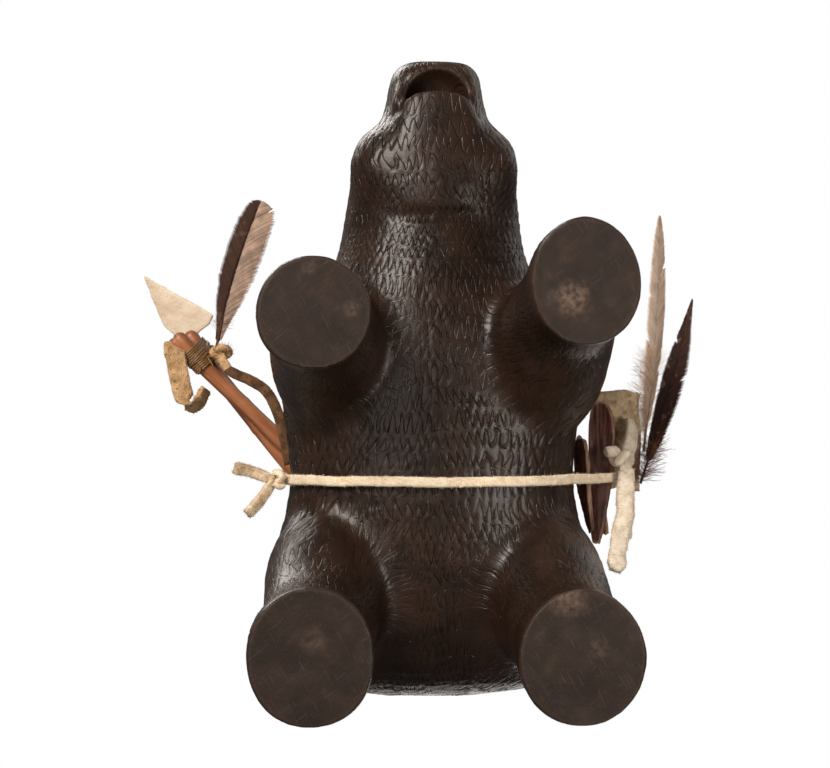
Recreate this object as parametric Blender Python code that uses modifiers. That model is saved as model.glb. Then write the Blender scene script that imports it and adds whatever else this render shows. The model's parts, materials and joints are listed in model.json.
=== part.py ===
"""A carved standing bear with a bundle tied to its back.

The bear stands on four flat soles. A flat suede thong goes once round its middle and holds two
crossed shafts with a hide point and a feather on its right side, and bark slips, a folded hide,
two suede ends and two feathers on its left side.

The sizes are in millimetres, and MM turns them into metres. In the drawing frame X is the bear's
left, -Y is forward, Z is up, Y = 0 is the plane of the thong and Z = 0 is the floor. The empty
that all the pieces hang from moves the drawing's STAND_CENTRE to the world's origin.
"""

import math

import bmesh
import bpy
import numpy as np
from mathutils import Matrix, Vector
from mathutils.bvhtree import BVHTree

MM = 0.001
STAND_CENTRE = (-3.0, -26.5, 0.0)

# The bear's overall sizes. Its stations below are drawn on a blank of DRAWN_SIZE.
BODY_WIDTH = 92.0
BODY_LENGTH = 169.6
BODY_HEIGHT = 92.0
DRAWN_SIZE = (92.0, 169.6, 92.0)

# Stations of the trunk and head: along, half width, underside, top, squareness of the section.
TRUNK = (
    (58.1, 15.0, 54.0, 64.0, 2.0),
    (55.5, 30.0, 47.0, 70.0, 2.1),
    (50.0, 38.5, 41.0, 75.5, 2.2),
    (41.0, 43.5, 36.5, 80.5, 2.2),
    (30.0, 44.5, 34.0, 84.0, 2.2),
    (20.0, 42.5, 32.5, 86.0, 2.2),
    (10.0, 39.5, 32.0, 86.5, 2.1),
    (0.0, 38.0, 32.0, 86.5, 2.1),
    (-10.0, 39.0, 32.5, 88.0, 2.1),
    (-20.0, 40.5, 33.5, 90.5, 2.1),
    (-32.0, 40.0, 34.5, 92.0, 2.1),
    (-43.0, 34.5, 36.0, 91.0, 2.1),
    (-52.0, 29.0, 37.5, 88.0, 2.1),
    (-60.0, 25.2, 39.5, 85.0, 2.1),
    (-67.0, 24.0, 41.5, 84.0, 2.1),
    (-75.0, 23.0, 40.8, 84.2, 2.1),
    (-81.0, 21.8, 41.0, 82.5, 2.1),
    (-86.5, 19.6, 42.0, 79.0, 2.1),
    (-91.0, 16.8, 43.6, 74.8, 2.1),
    (-96.0, 14.2, 46.0, 71.5, 2.3),
    (-102.0, 12.9, 48.0, 70.0, 2.5),
    (-107.0, 12.4, 48.4, 69.0, 2.6),
    (-110.0, 10.8, 50.0, 67.4, 2.6),
    (-111.5, 8.6, 52.5, 65.0, 2.4),
)
# Stations of the lower jaw, which ends short of the nose.
JAW = (
    (-76.0, 17.0, 41.3, 56.0, 2.1),
    (-86.0, 15.0, 42.0, 54.0, 2.1),
    (-94.0, 11.8, 43.6, 52.5, 2.2),
    (-100.0, 9.2, 44.8, 51.2, 2.3),
    (-103.4, 6.8, 46.2, 50.2, 2.2),
)
# The head's small turn to its left, which grows from the neck to the nose.
HEAD_TURN = 0.8
HEAD_TURN_START = 60.0
HEAD_TURN_LENGTH = 45.0
# Points round a section of the trunk and of a leg, and the sections between two stations.
TRUNK_POINTS = 32
LEG_POINTS = 24
STATION_STEPS = 3

# Stations of a leg, from the sole up: height, centre across, centre along, radii across and along.
FRONT_RIGHT_LEG = (
    (-3.0, -32.8, -42.6, 13.4, 13.4),
    (1.0, -32.8, -42.6, 14.2, 14.2),
    (7.0, -32.8, -42.6, 14.6, 14.4),
    (14.0, -32.4, -41.8, 13.6, 13.8),
    (22.0, -31.4, -40.0, 13.4, 14.4),
    (34.0, -29.2, -36.0, 14.8, 17.0),
    (48.0, -26.8, -30.5, 16.0, 20.0),
    (62.0, -22.5, -29.0, 14.0, 18.0),
    (72.0, -18.0, -29.0, 10.0, 12.0),
)
FRONT_LEFT_LEG = (
    (-3.0, 34.1, -50.3, 13.0, 15.2),
    (1.0, 34.1, -50.3, 13.9, 16.1),
    (7.0, 34.1, -50.2, 14.3, 16.2),
    (14.0, 33.6, -48.6, 13.6, 15.0),
    (22.0, 32.4, -45.0, 13.4, 14.8),
    (34.0, 30.4, -37.0, 15.4, 18.4),
    (48.0, 27.6, -29.5, 16.8, 20.5),
    (62.0, 22.5, -29.0, 14.0, 18.0),
    (72.0, 18.0, -29.0, 10.0, 12.0),
)
REAR_RIGHT_LEG = (
    (-3.0, -33.6, 41.6, 15.0, 16.8),
    (1.0, -33.6, 41.6, 15.9, 17.6),
    (7.0, -33.6, 41.4, 16.2, 17.6),
    (14.0, -33.0, 40.0, 15.0, 16.4),
    (22.0, -31.6, 37.0, 14.6, 16.6),
    (34.0, -29.6, 31.0, 15.6, 19.5),
    (48.0, -27.5, 27.0, 17.0, 21.5),
    (62.0, -23.0, 25.0, 15.0, 19.0),
    (70.0, -18.0, 25.0, 11.0, 14.0),
)
REAR_LEFT_LEG = tuple(
    (z, -x - 0.3, y + 0.6, rx + 0.1, ry - 0.4) for z, x, y, rx, ry in REAR_RIGHT_LEG
)

EAR_CENTRE = (16.5, -70.0, 83.0)
EAR_RADII = (7.4, 4.2, 7.6)
EAR_TILT = -12.0
BROW_CENTRE = (8.2, -84.0, 75.5)
BROW_RADII = (7.2, 8.5, 6.0)
CHEEK_CENTRE = (13.5, -82.0, 56.0)
CHEEK_RADII = (9.4, 12.5, 11.5)
NOSE_CENTRE = (0.0, -108.2, 66.2)
NOSE_RADII = (6.4, 4.6, 4.2)
TAIL_CENTRE = (0.0, 54.4, 65.0)
TAIL_RADII = (5.4, 5.0, 8.0)

# Segments round and up of the bear's rounded blocks, and of the small round pieces.
BALL_SEGMENTS = (24, 14)
LUMP_SEGMENTS = (16, 10)
SKIN_VOXEL = 1.7
SKIN_SMOOTHING = 9
SKIN_SMOOTHING_SHARE = 0.5
BODY_TRIANGLES = 5200
# The block that levels the soles, on the bear's blank, and its depth under the floor.
FLOOR_BLOCK = (140.0, 240.0, 0.0)
FLOOR_BLOCK_DEPTH = 20.0
MOUTH_CENTRE = (0.0, -100.4, 50.0)
MOUTH_RADII = (8.4, 8.1, 5.6)
EYE_CENTRE = (11.6, -92.0, 73.5)
EYE_DIAMETER = 3.2
EYE_PROUD = 1.0

# Clearances between pieces that touch on the real object.
SEAT_GAP = 0.35
SEAT_STEP = 0.25
SEAT_LIMIT = 60.0

# Edges sharper than this stay sharp, and a strip's edges are rounded past EDGE_ANGLE.
SMOOTH_ANGLE = math.radians(40)
EDGE_ANGLE = math.radians(50)
SUEDE_EDGE = 0.35
# Steps of the curve between two points of a route.
CURVE_STEPS = 12

# The belly thong, its knot and its two cut ends.
THONG_WIDTH = 3.2
THONG_THICKNESS = 1.5
THONG_SLACK = 0.4
THONG_POINTS = 96
# How far past its own edges the thong feels what it lies on, and the steps round each corner.
THONG_MARGIN = 0.2
CORNER_POINTS = 12
KNOT_HEIGHT = 51.0
KNOT_RADII = (2.1, 3.0, 2.8)
KNOT_GAP = 0.7
TAIL_WIDTH = 3.0
TAIL_THICKNESS = 1.5
FRONT_TAIL = ((2.8, -0.5, 0.4), (5.6, -1.7, 0.6), (8.6, -2.3, 0.0), (11.6, -2.1, -1.0))
REAR_TAIL = ((2.2, 3.0, -0.6), (4.2, 4.8, -1.0), (6.2, 6.6, -1.8), (8.4, 8.0, -2.8))
TAIL_SIDES = ((0.0, 1.0, 0.2), (0.0, 1.0, 0.5))
TAIL_ROWS = 9

# The two shafts: where the front tip is, out from the right flank, and the plan angle.
SHAFT_DIAMETER = 4.4
SHAFT_KNOB = 1.28
KNOB_GAP = 0.268
LOWER_TIP = (32.4, -38.5, 22.5)
LOWER_ANGLE = 44.0
LOWER_LENGTH = 104.0
UPPER_TIP = (29.3, -39.4, LOWER_TIP[2] + SHAFT_DIAMETER * SHAFT_KNOB + KNOB_GAP)
UPPER_ANGLE = 51.6
UPPER_LENGTH = 96.0
# The shaft's thickness along it, as shares of its length and of its diameter.
SHAFT_PROFILE = (
    (0.0, 0.75), (0.008, 1.15), (0.03, SHAFT_KNOB), (0.077, 1.0), (0.5, 1.0), (0.985, 1.0), (1.0, 0.7),
)
# Points where a shaft is tried against the back, past the tip's first few.
SHAFT_PROBES = 40
SHAFT_FREE_PROBES = 2

POINT_THICKNESS = 1.1
POINT_EDGE = 0.25
POINT_LIFT = 0.9
# The point's outline, as (behind, across) from the middle of the lashing.
POINT_OUTLINE = (
    (-26.6, 1.7), (-18.0, -1.7), (-12.1, -3.9), (-7.0, -3.1), (-4.2, -2.0), (2.4, -1.7),
    (2.4, 1.7), (-4.2, 2.0), (-4.0, 6.6), (-5.2, 9.3), (-15.0, 5.9),
)
# The lashing: how far it is from each shaft's tip, its length and its wall.
LASHING_AT = 9.0
LASHING_AT_UPPER = 7.8
LASHING_POINTS = 20
LASHING_LENGTH = 6.6
LASHING_WALL = 1.1
LASHING_EASE = 0.5

# Suede strips are routes of (out, back, up) points. These two start from the lower shaft's tip.
WRAP_WIDTH = 5.0
WRAP_THICKNESS = 1.3
WRAP_EDGE = 0.3
WRAP_SIDES = ((1.0, 0.1, 0.0), (1.0, 0.5, 0.1))
WRAP_ROWS = 20
WRAP_ROUTE = (
    (0.4, 1.0, -4.3), (-1.2, 7.6, -5.0), (-2.8, 14.4, -5.2), (-3.9, 18.4, -4.6),
    (-5.0, 19.4, -2.6), (-6.0, 18.0, -0.9), (-7.2, 15.0, -0.4),
)
FEATHER_TIE_CENTRE = (-14.8, 5.2, 3.2)
FEATHER_TIE_RADII = (2.4, 2.4, 2.2)
TIE_THONG_WIDTH = 2.4
TIE_THONG_ROWS = 18
TIE_THONG_ROUTE = (
    (17.4, -29.5, 23.2), (14.8, -27.9, 22.6), (11.0, -26.3, 21.4), (6.6, -23.4, 19.4),
    (3.6, -18.2, 17.6), (1.4, -10.2, 16.2), (0.2, -3.2, 15.2),
)

# Bark slips: route, full width, thickness and tilt of the slip under the thong.
SLIP_THICKNESS = 1.2
SLIPS = {
    "bark_slip_inner": dict(
        route=((1.8, -10.8, 4.0), (2.2, -3.0, 4.0), (2.8, 5.0, 3.4), (4.4, 15.0, 2.4)),
        width=6.4, tilt=62.0,
    ),
    "bark_slip_outer": dict(
        route=((8.0, -20.3, 7.4), (8.2, -10.0, 6.6), (7.8, 0.0, 5.6), (7.0, 8.0, 4.8), (6.3, 18.0, 4.0)),
        width=7.6, tilt=22.0,
    ),
    "bark_slip_rear": dict(
        route=((5.2, 2.4, 9.0), (6.2, 8.0, 8.4), (7.6, 16.0, 7.4)),
        width=4.4, tilt=70.0,
    ),
}
SLIP_OUTLINE = (
    (0.0, 0.45), (0.06, 0.8), (0.2, 1.0), (0.5, 0.9), (0.8, 0.62), (0.95, 0.4), (1.0, 0.25),
)
SLIP_CURL = 0.5
SLIP_ROWS = 13
# The places across a strip that is curved across, from edge to edge.
ACROSS = (-1.0, -0.5, 0.0, 0.5, 1.0)

# The folded hide: along, centre out, half width and half thickness, level above the flank.
HIDE_LEVEL = 13.6
HIDE_POINTS = 20
HIDE_SQUARENESS = 2.6
HIDE_STATIONS = (
    (-23.4, 12.4, 5.2, 1.0), (-22.4, 12.5, 6.2, 2.0), (-18.0, 12.9, 6.5, 2.8),
    (-12.0, 13.8, 5.8, 2.8), (-6.0, 15.0, 4.4, 2.5), (0.0, 15.8, 3.2, 2.2), (4.0, 16.0, 2.4, 1.6),
)
DROP_KNOT_CENTRE = (13.2, -5.4, -0.4)
DROP_KNOT_RADII = (4.2, 2.9, 2.9)
DROP_LONG_WIDTH = 5.0
DROP_LONG_ROUTE = (
    (14.2, -2.2, -1.0), (13.8, 4.0, -3.0), (12.8, 10.4, -6.2),
    (11.0, 17.0, -10.2), (9.0, 23.8, -15.2),
)
DROP_SHORT_WIDTH = 3.2
DROP_SHORT_ROUTE = ((16.4, 6.0, 12.4), (16.2, 10.0, 10.4), (15.6, 17.0, 7.6))
DROP_THICKNESS = 1.4
DROP_SIDES = ((1.0, 0.1, 0.1), (1.0, 0.2, 0.3))
DROP_ROWS = 14
FEATHER_THICKNESS = 0.8
FEATHER_CAMBER = 0.5
FEATHER_ROWS = 17

# A feather: quill end to tip, the widths of its two vanes, its roll about the quill and its bow.
FEATHERS = {
    "lance_feather": dict(
        side=-1, base=(19.6, -37.2, 26.5), tip=(7.8, -76.4, 29.5),
        vanes=(4.2, 6.2), roll=8.0, bow=1.6, finish="brown_feather",
    ),
    "pale_feather": dict(
        side=1, base=(21.2, -6.5, 14.5), tip=(26.0, -71.7, 16.0),
        vanes=(3.6, 4.4), roll=48.0, bow=2.0, finish="pale_feather",
    ),
    "dark_feather": dict(
        side=1, base=(19.6, 2.0, 9.0), tip=(34.2, -48.6, 10.5),
        vanes=(3.6, 4.0), roll=-50.0, bow=1.4, finish="dark_feather",
    ),
}
# Vane width along a feather, from the bare quill to the tip.
VANE_OUTLINE = (
    (0.0, 0.16), (0.1, 0.17), (0.2, 0.6), (0.34, 0.9), (0.55, 1.0), (0.74, 0.9), (0.88, 0.6),
    (0.96, 0.3), (1.0, 0.1),
)

# Each finish: colour, roughness and metallic value.
FINISHES = {
    "dark_resin": ((0.035, 0.027, 0.022), 0.42, 0.0),
    "eye_glass": ((0.01, 0.008, 0.006), 0.08, 0.0),
    "red_cane": ((0.30, 0.11, 0.05), 0.5, 0.0),
    "raw_hide": ((0.78, 0.66, 0.50), 0.6, 0.0),
    "sinew": ((0.42, 0.28, 0.12), 0.45, 0.0),
    "brown_feather": ((0.32, 0.17, 0.09), 0.6, 0.0),
    "pale_feather": ((0.62, 0.50, 0.42), 0.6, 0.0),
    "dark_feather": ((0.06, 0.02, 0.012), 0.55, 0.0),
    "tan_suede": ((0.55, 0.42, 0.27), 0.9, 0.0),
    "brown_suede": ((0.22, 0.14, 0.07), 0.85, 0.0),
    "red_bark": ((0.20, 0.07, 0.05), 0.6, 0.0),
    "grey_hide": ((0.36, 0.29, 0.20), 0.9, 0.0),
    "pale_suede": ((0.74, 0.66, 0.54), 0.9, 0.0),
    "cream_suede": ((0.70, 0.60, 0.47), 0.85, 0.0),
}


def scaled(x, y, z):
    """A point of the bear's blank, at the bear's own overall sizes."""
    return Vector(
        (
            x * BODY_WIDTH / DRAWN_SIZE[0],
            y * BODY_LENGTH / DRAWN_SIZE[1],
            z * BODY_HEIGHT / DRAWN_SIZE[2],
        )
    )


# The widest point of the flank in the plane of the thong, which the bundle is placed from.
FLANK = scaled(38.0, 0.0, 58.0)


def beside(side, x, y, z):
    """A point x out from the left (1) or right (-1) flank, y back and z above its widest point."""
    return Vector((side * (FLANK.x + x), y, FLANK.z + z))


def material(name):
    """A plain Principled material of one of the finishes."""
    colour, roughness, metallic = FINISHES[name]
    made = bpy.data.materials.new(name)
    made.use_nodes = True
    shader = made.node_tree.nodes["Principled BSDF"]
    shader.inputs["Base Color"].default_value = (*colour, 1.0)
    shader.inputs["Roughness"].default_value = roughness
    shader.inputs["Metallic"].default_value = metallic
    return made


def clear_scene():
    """Removes what an opened file starts with."""
    for old in list(bpy.data.objects):
        bpy.data.objects.remove(old, do_unlink=True)


def new_collection(name):
    """A collection of the scene."""
    made = bpy.data.collections.new(name)
    bpy.context.scene.collection.children.link(made)
    return made


class Workshop:
    """Holds the collections, and puts pieces and cutters in them."""

    def __init__(self):
        self.parts = new_collection("bear_with_bundle")
        self.cutters = new_collection("cutters")
        self.stand = bpy.data.objects.new("stand", None)
        self.stand.location = -Vector(STAND_CENTRE) * MM
        self.parts.objects.link(self.stand)

    def add(self, name, data, look=None, place=None):
        """A piece on the stand, from mesh or curve data drawn in millimetres."""
        piece = bpy.data.objects.new(name, data)
        data.transform(Matrix.Scale(MM, 4))
        self.parts.objects.link(piece)
        piece.parent = self.stand
        piece.location = Vector(place) * MM if place else (0, 0, 0)
        if look:
            data.materials.append(look)
        if isinstance(data, bpy.types.Mesh):
            data.shade_smooth()
            data.set_sharp_from_angle(angle=SMOOTH_ANGLE)
        return piece

    def cutter(self, name, data):
        """A hidden guide on the stand, from mesh data drawn in millimetres."""
        guide = bpy.data.objects.new(name, data)
        data.transform(Matrix.Scale(MM, 4))
        self.cutters.objects.link(guide)
        guide.parent = self.stand
        guide.hide_render = True
        guide.display_type = "WIRE"
        return guide


def bmesh_to_mesh(bm, name):
    """Turns a bmesh into mesh data with its faces pointing out."""
    bmesh.ops.recalc_face_normals(bm, faces=bm.faces)
    mesh = bpy.data.meshes.new(name)
    bm.to_mesh(mesh)
    bm.free()
    return mesh


def open_mesh(bm, name):
    """Turns a bmesh into mesh data as it is."""
    mesh = bpy.data.meshes.new(name)
    bm.to_mesh(mesh)
    bm.free()
    return mesh


def join_rows(bm, rows):
    """Joins rows of equal counts with quads, and leaves the edges open."""
    for a, b in zip(rows, rows[1:]):
        for i in range(len(a) - 1):
            bm.faces.new((a[i], a[i + 1], b[i + 1], b[i]))


def oval(count, half_x, half_y, squareness=2.0):
    """Points of a superellipse, as (x, y) pairs."""
    power = 2.0 / squareness
    points = []
    for i in range(count):
        angle = 2 * math.pi * i / count
        c, s = math.cos(angle), math.sin(angle)
        points.append(
            (
                half_x * math.copysign(abs(c) ** power, c),
                half_y * math.copysign(abs(s) ** power, s),
            )
        )
    return points


def loft(bm, rings):
    """Joins rings of equal counts with quads and closes both ends."""
    loops = [[bm.verts.new(p) for p in ring] for ring in rings]
    count = len(loops[0])
    for a, b in zip(loops, loops[1:]):
        for i in range(count):
            j = (i + 1) % count
            bm.faces.new((a[i], a[j], b[j], b[i]))
    bm.faces.new(list(reversed(loops[0])))
    bm.faces.new(loops[-1])


def eased(stations, steps):
    """Stations with smooth in-between ones, from a Catmull-Rom curve through the table."""
    table = [np.array(row) for row in stations]
    table = [2 * table[0] - table[1], *table, 2 * table[-1] - table[-2]]
    rows = []
    for p0, p1, p2, p3 in zip(table, table[1:], table[2:], table[3:]):
        for i in range(steps):
            t = i / steps
            rows.append(
                0.5 * (2 * p1 + (p2 - p0) * t + (2 * p0 - 5 * p1 + 4 * p2 - p3) * t**2
                       + (3 * p1 - p0 - 3 * p2 + p3) * t**3)
            )
    rows.append(table[-2])
    return rows


def head_turn(y):
    """How far the head's turn moves a point of the bear across."""
    return HEAD_TURN * min(max((-y - HEAD_TURN_START) / HEAD_TURN_LENGTH, 0), 1)


def trunk_rings(stations):
    """Upright sections across the bear."""
    rings = []
    for y, half_width, under, top, squareness in eased(stations, STATION_STEPS):
        middle, half_height = (under + top) / 2, (top - under) / 2
        section = oval(TRUNK_POINTS, half_width, half_height, squareness)
        rings.append([scaled(x + head_turn(y), y, middle + z) for x, z in section])
    return rings


def leg_rings(stations):
    """Level sections up a leg."""
    return [
        [scaled(cx + x, cy + y, z) for x, y in oval(LEG_POINTS, rx, ry)]
        for z, cx, cy, rx, ry in eased(stations, STATION_STEPS)
    ]


def ball(bm, centre, radii, tilt=None):
    """An ellipsoid on the bear's blank."""
    round_, up = BALL_SEGMENTS
    made = bmesh.ops.create_uvsphere(bm, u_segments=round_, v_segments=up, radius=1.0)["verts"]
    turn = Matrix.Rotation(math.radians(tilt[0]), 3, tilt[1]) if tilt else Matrix.Identity(3)
    for vert in made:
        vert.co = scaled(*(Vector(centre) + turn @ (vert.co * Vector(radii))))


def head_point(point, side=1):
    """A point of the head, on either side and with the head's small turn."""
    return (side * point[0] + head_turn(point[1]), *point[1:])


def bear_skin():
    """The bear's closed blocks, which still overlap each other."""
    bm = bmesh.new()
    loft(bm, trunk_rings(TRUNK))
    loft(bm, trunk_rings(JAW))
    for leg in (FRONT_RIGHT_LEG, FRONT_LEFT_LEG, REAR_RIGHT_LEG, REAR_LEFT_LEG):
        loft(bm, leg_rings(leg))
    for side in (-1, 1):
        ball(bm, head_point(EAR_CENTRE, side), EAR_RADII, (EAR_TILT, "X"))
        ball(bm, head_point(BROW_CENTRE, side), BROW_RADII)
        ball(bm, head_point(CHEEK_CENTRE, side), CHEEK_RADII)
    ball(bm, head_point(NOSE_CENTRE), NOSE_RADII)
    ball(bm, TAIL_CENTRE, TAIL_RADII)
    return bmesh_to_mesh(bm, "bear_body")


def applied(piece, name):
    """The piece's mesh with its modifiers applied, in the piece's own frame."""
    graph = bpy.context.evaluated_depsgraph_get()
    mesh = bpy.data.meshes.new_from_object(piece.evaluated_get(graph))
    mesh.name = name
    return mesh


def cut(piece, guide):
    """Takes the guide's shape out of the piece."""
    step = piece.modifiers.new(f"cut_{guide.name}", "BOOLEAN")
    step.operation = "DIFFERENCE"
    step.object = guide
    step.solver = "EXACT"


def make_bear(shop):
    """The body: blocks fused into one skin, smoothed, with the soles, mouth and sockets cut."""
    body = shop.add("bear_body", bear_skin())
    fuse = body.modifiers.new("fuse", "REMESH")
    fuse.mode = "VOXEL"
    fuse.voxel_size = SKIN_VOXEL * MM
    soften = body.modifiers.new("soften", "SMOOTH")
    soften.factor = SKIN_SMOOTHING_SHARE
    soften.iterations = SKIN_SMOOTHING
    thin = body.modifiers.new("thin", "DECIMATE")
    bpy.context.view_layer.update()
    graph = bpy.context.evaluated_depsgraph_get()
    thin.ratio = 1.0
    faces = len(body.evaluated_get(graph).to_mesh().loop_triangles)
    thin.ratio = min(1.0, BODY_TRIANGLES / max(faces, 1))

    floor = bmesh.new()
    bmesh.ops.create_cube(floor, size=1.0)
    size = scaled(*FLOOR_BLOCK) + Vector((0, 0, FLOOR_BLOCK_DEPTH))
    for vert in floor.verts:
        vert.co = vert.co * size + Vector((0, 0, -size.z / 2))
    cut(body, shop.cutter("floor_level", bmesh_to_mesh(floor, "floor_level")))

    mouth = bmesh.new()
    ball(mouth, head_point(MOUTH_CENTRE), MOUTH_RADII)
    cut(body, shop.cutter("mouth_hollow", bmesh_to_mesh(mouth, "mouth_hollow")))
    body.data.materials.append(material("dark_resin"))
    return body


def drawing_place(seen):
    """The matrix that takes an evaluated piece's own points to drawing millimetres."""
    stand = Matrix.Translation(Vector(STAND_CENTRE) * MM)
    return Matrix.Scale(1 / MM, 4) @ stand @ seen.matrix_world


def tree_of(*pieces):
    """Search trees of pieces as evaluated, in drawing millimetres."""
    bpy.context.view_layer.update()
    graph = bpy.context.evaluated_depsgraph_get()
    trees = []
    for piece in pieces:
        seen = piece.evaluated_get(graph)
        mesh = seen.to_mesh()
        bm = bmesh.new()
        bm.from_mesh(mesh)
        bm.transform(drawing_place(seen))
        bmesh.ops.triangulate(bm, faces=bm.faces)
        trees.append(BVHTree.FromBMesh(bm))
        bm.free()
        seen.to_mesh_clear()
    return trees


def gap_to(point, trees):
    """How far a point is outside the nearest surface, negative inside."""
    least = math.inf
    for tree in trees:
        near, normal, _, distance = tree.find_nearest(point)
        inside = (point - near).dot(normal) < 0
        least = min(least, -distance if inside else distance)
    return least


def seat(points, radius, trees, direction):
    """How far to move points along a direction until they clear the surfaces by the seat gap."""
    moved = 0.0
    while moved < SEAT_LIMIT:
        if all(gap_to(p + direction * moved, trees) >= radius + SEAT_GAP for p in points):
            break
        moved += SEAT_STEP
    return moved


def along(start, end, count):
    """Evenly spaced points from start to end."""
    return [start.lerp(end, i / (count - 1)) for i in range(count)]


def smooth_path(points, count):
    """Evenly spaced points on a smooth curve through a few."""
    rows = [Vector(row) for row in eased([tuple(p) for p in points], CURVE_STEPS)]
    steps = [0.0]
    for a, b in zip(rows, rows[1:]):
        steps.append(steps[-1] + (b - a).length)
    wanted = np.linspace(0.0, steps[-1], count)
    return [
        Vector(tuple(float(np.interp(w, steps, [r[k] for r in rows])) for k in range(3)))
        for w in wanted
    ]


def rod(points, radii, resolution=3):
    """Curve data of a round rod through points, with a radius at each."""
    curve = bpy.data.curves.new("rod", "CURVE")
    curve.dimensions = "3D"
    curve.bevel_depth = 1.0
    curve.bevel_resolution = resolution
    curve.use_fill_caps = True
    line = curve.splines.new("POLY")
    line.points.add(len(points) - 1)
    for spot, point, radius in zip(line.points, points, radii):
        spot.co = (*point, 1.0)
        spot.radius = radius
    return curve


def rod_mesh(points, radii, resolution=3):
    """The same rod as a closed mesh."""
    curve = rod(points, radii, resolution)
    holder = bpy.data.objects.new("rod_holder", curve)
    bpy.context.scene.collection.objects.link(holder)
    bpy.context.view_layer.update()
    mesh = applied(holder, "rod")
    bpy.data.objects.remove(holder, do_unlink=True)
    bm = bmesh.new()
    bm.from_mesh(mesh)
    bmesh.ops.remove_doubles(bm, verts=bm.verts, dist=0.001)
    return bmesh_to_mesh(bm, "rod")


def ribbon(points, sides, width):
    """An open strip along points, width across, with a side direction at each point."""
    bm = bmesh.new()
    rows = []
    for point, side in zip(points, sides):
        half = Vector(side).normalized() * width / 2
        rows.append([bm.verts.new(point + half * k) for k in (-1.0, 0.0, 1.0)])
    join_rows(bm, rows)
    return open_mesh(bm, "ribbon")


def thicken(piece, thickness, round_edge=0.0):
    """Gives an open strip its thickness, and rounds its edges."""
    wall = piece.modifiers.new("thickness", "SOLIDIFY")
    wall.thickness = thickness * MM
    wall.offset = 0.0
    wall.use_even_offset = True
    if round_edge:
        edge = piece.modifiers.new("edges", "BEVEL")
        edge.width = round_edge * MM
        edge.segments = 1
        edge.limit_method = "ANGLE"
        edge.angle_limit = EDGE_ANGLE


def blended(start, end, count):
    """Side directions that turn evenly from start to end."""
    return [Vector(start).lerp(Vector(end), i / (count - 1)) for i in range(count)]


def make_eyes(shop, body):
    """Two round eyes, set in sockets cut a gap wider than themselves."""
    glass = material("eye_glass")
    round_, up = LUMP_SEGMENTS
    trees = tree_of(body)
    for side, name in ((1, "eye_left"), (-1, "eye_right")):
        aim = scaled(*head_point(EYE_CENTRE, side))
        near, normal, _, _ = trees[0].find_nearest(aim)
        centre = near - normal * (EYE_DIAMETER / 2 - EYE_PROUD)
        for radius, is_eye in ((EYE_DIAMETER / 2 + SEAT_GAP, False), (EYE_DIAMETER / 2, True)):
            bm = bmesh.new()
            bmesh.ops.create_uvsphere(bm, u_segments=round_, v_segments=up, radius=radius)
            if is_eye:
                shop.add(name, bmesh_to_mesh(bm, name), glass, centre)
            else:
                bmesh.ops.translate(bm, verts=bm.verts, vec=centre)
                cut(body, shop.cutter(f"{name}_socket", bmesh_to_mesh(bm, name)))


def shaft_line(tip, angle, length, rise):
    """The two ends of a shaft from its front tip, its plan angle and the rise of its far end."""
    level = length * math.sqrt(max(1 - (rise / length) ** 2, 0.0))
    heading = Vector((math.cos(math.radians(angle)), math.sin(math.radians(angle)), 0))
    return tip, tip + heading * level + Vector((0, 0, rise))


def lay_shaft(tip, angle, length, trees):
    """The lowest line from the tip over the back that clears everything in the way."""
    rise = 0.0
    clear = SHAFT_DIAMETER / 2 + SEAT_GAP
    while rise < SEAT_LIMIT:
        line = along(*shaft_line(tip, angle, length, rise), SHAFT_PROBES)
        if all(gap_to(p, trees) >= clear for p in line[SHAFT_FREE_PROBES:]):
            break
        rise += SEAT_STEP
    return shaft_line(tip, angle, length, rise)


def make_shafts(shop, body):
    """Two reddish shafts over the back, the upper one crossing the lower."""
    wood = material("red_cane")
    lines = {}
    done = [body]
    for name, tip, angle, length in (
        ("lance_shaft_lower", LOWER_TIP, LOWER_ANGLE, LOWER_LENGTH),
        ("lance_shaft_upper", UPPER_TIP, UPPER_ANGLE, UPPER_LENGTH),
    ):
        start, end = lay_shaft(beside(-1, *tip), angle, length, tree_of(*done))
        points = [start.lerp(end, share) for share, _ in SHAFT_PROFILE]
        radii = [SHAFT_DIAMETER / 2 * thickness for _, thickness in SHAFT_PROFILE]
        done.append(shop.add(name, rod_mesh(points, radii), wood))
        lines[name] = (start, end)
    return lines, done[1:]


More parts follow.
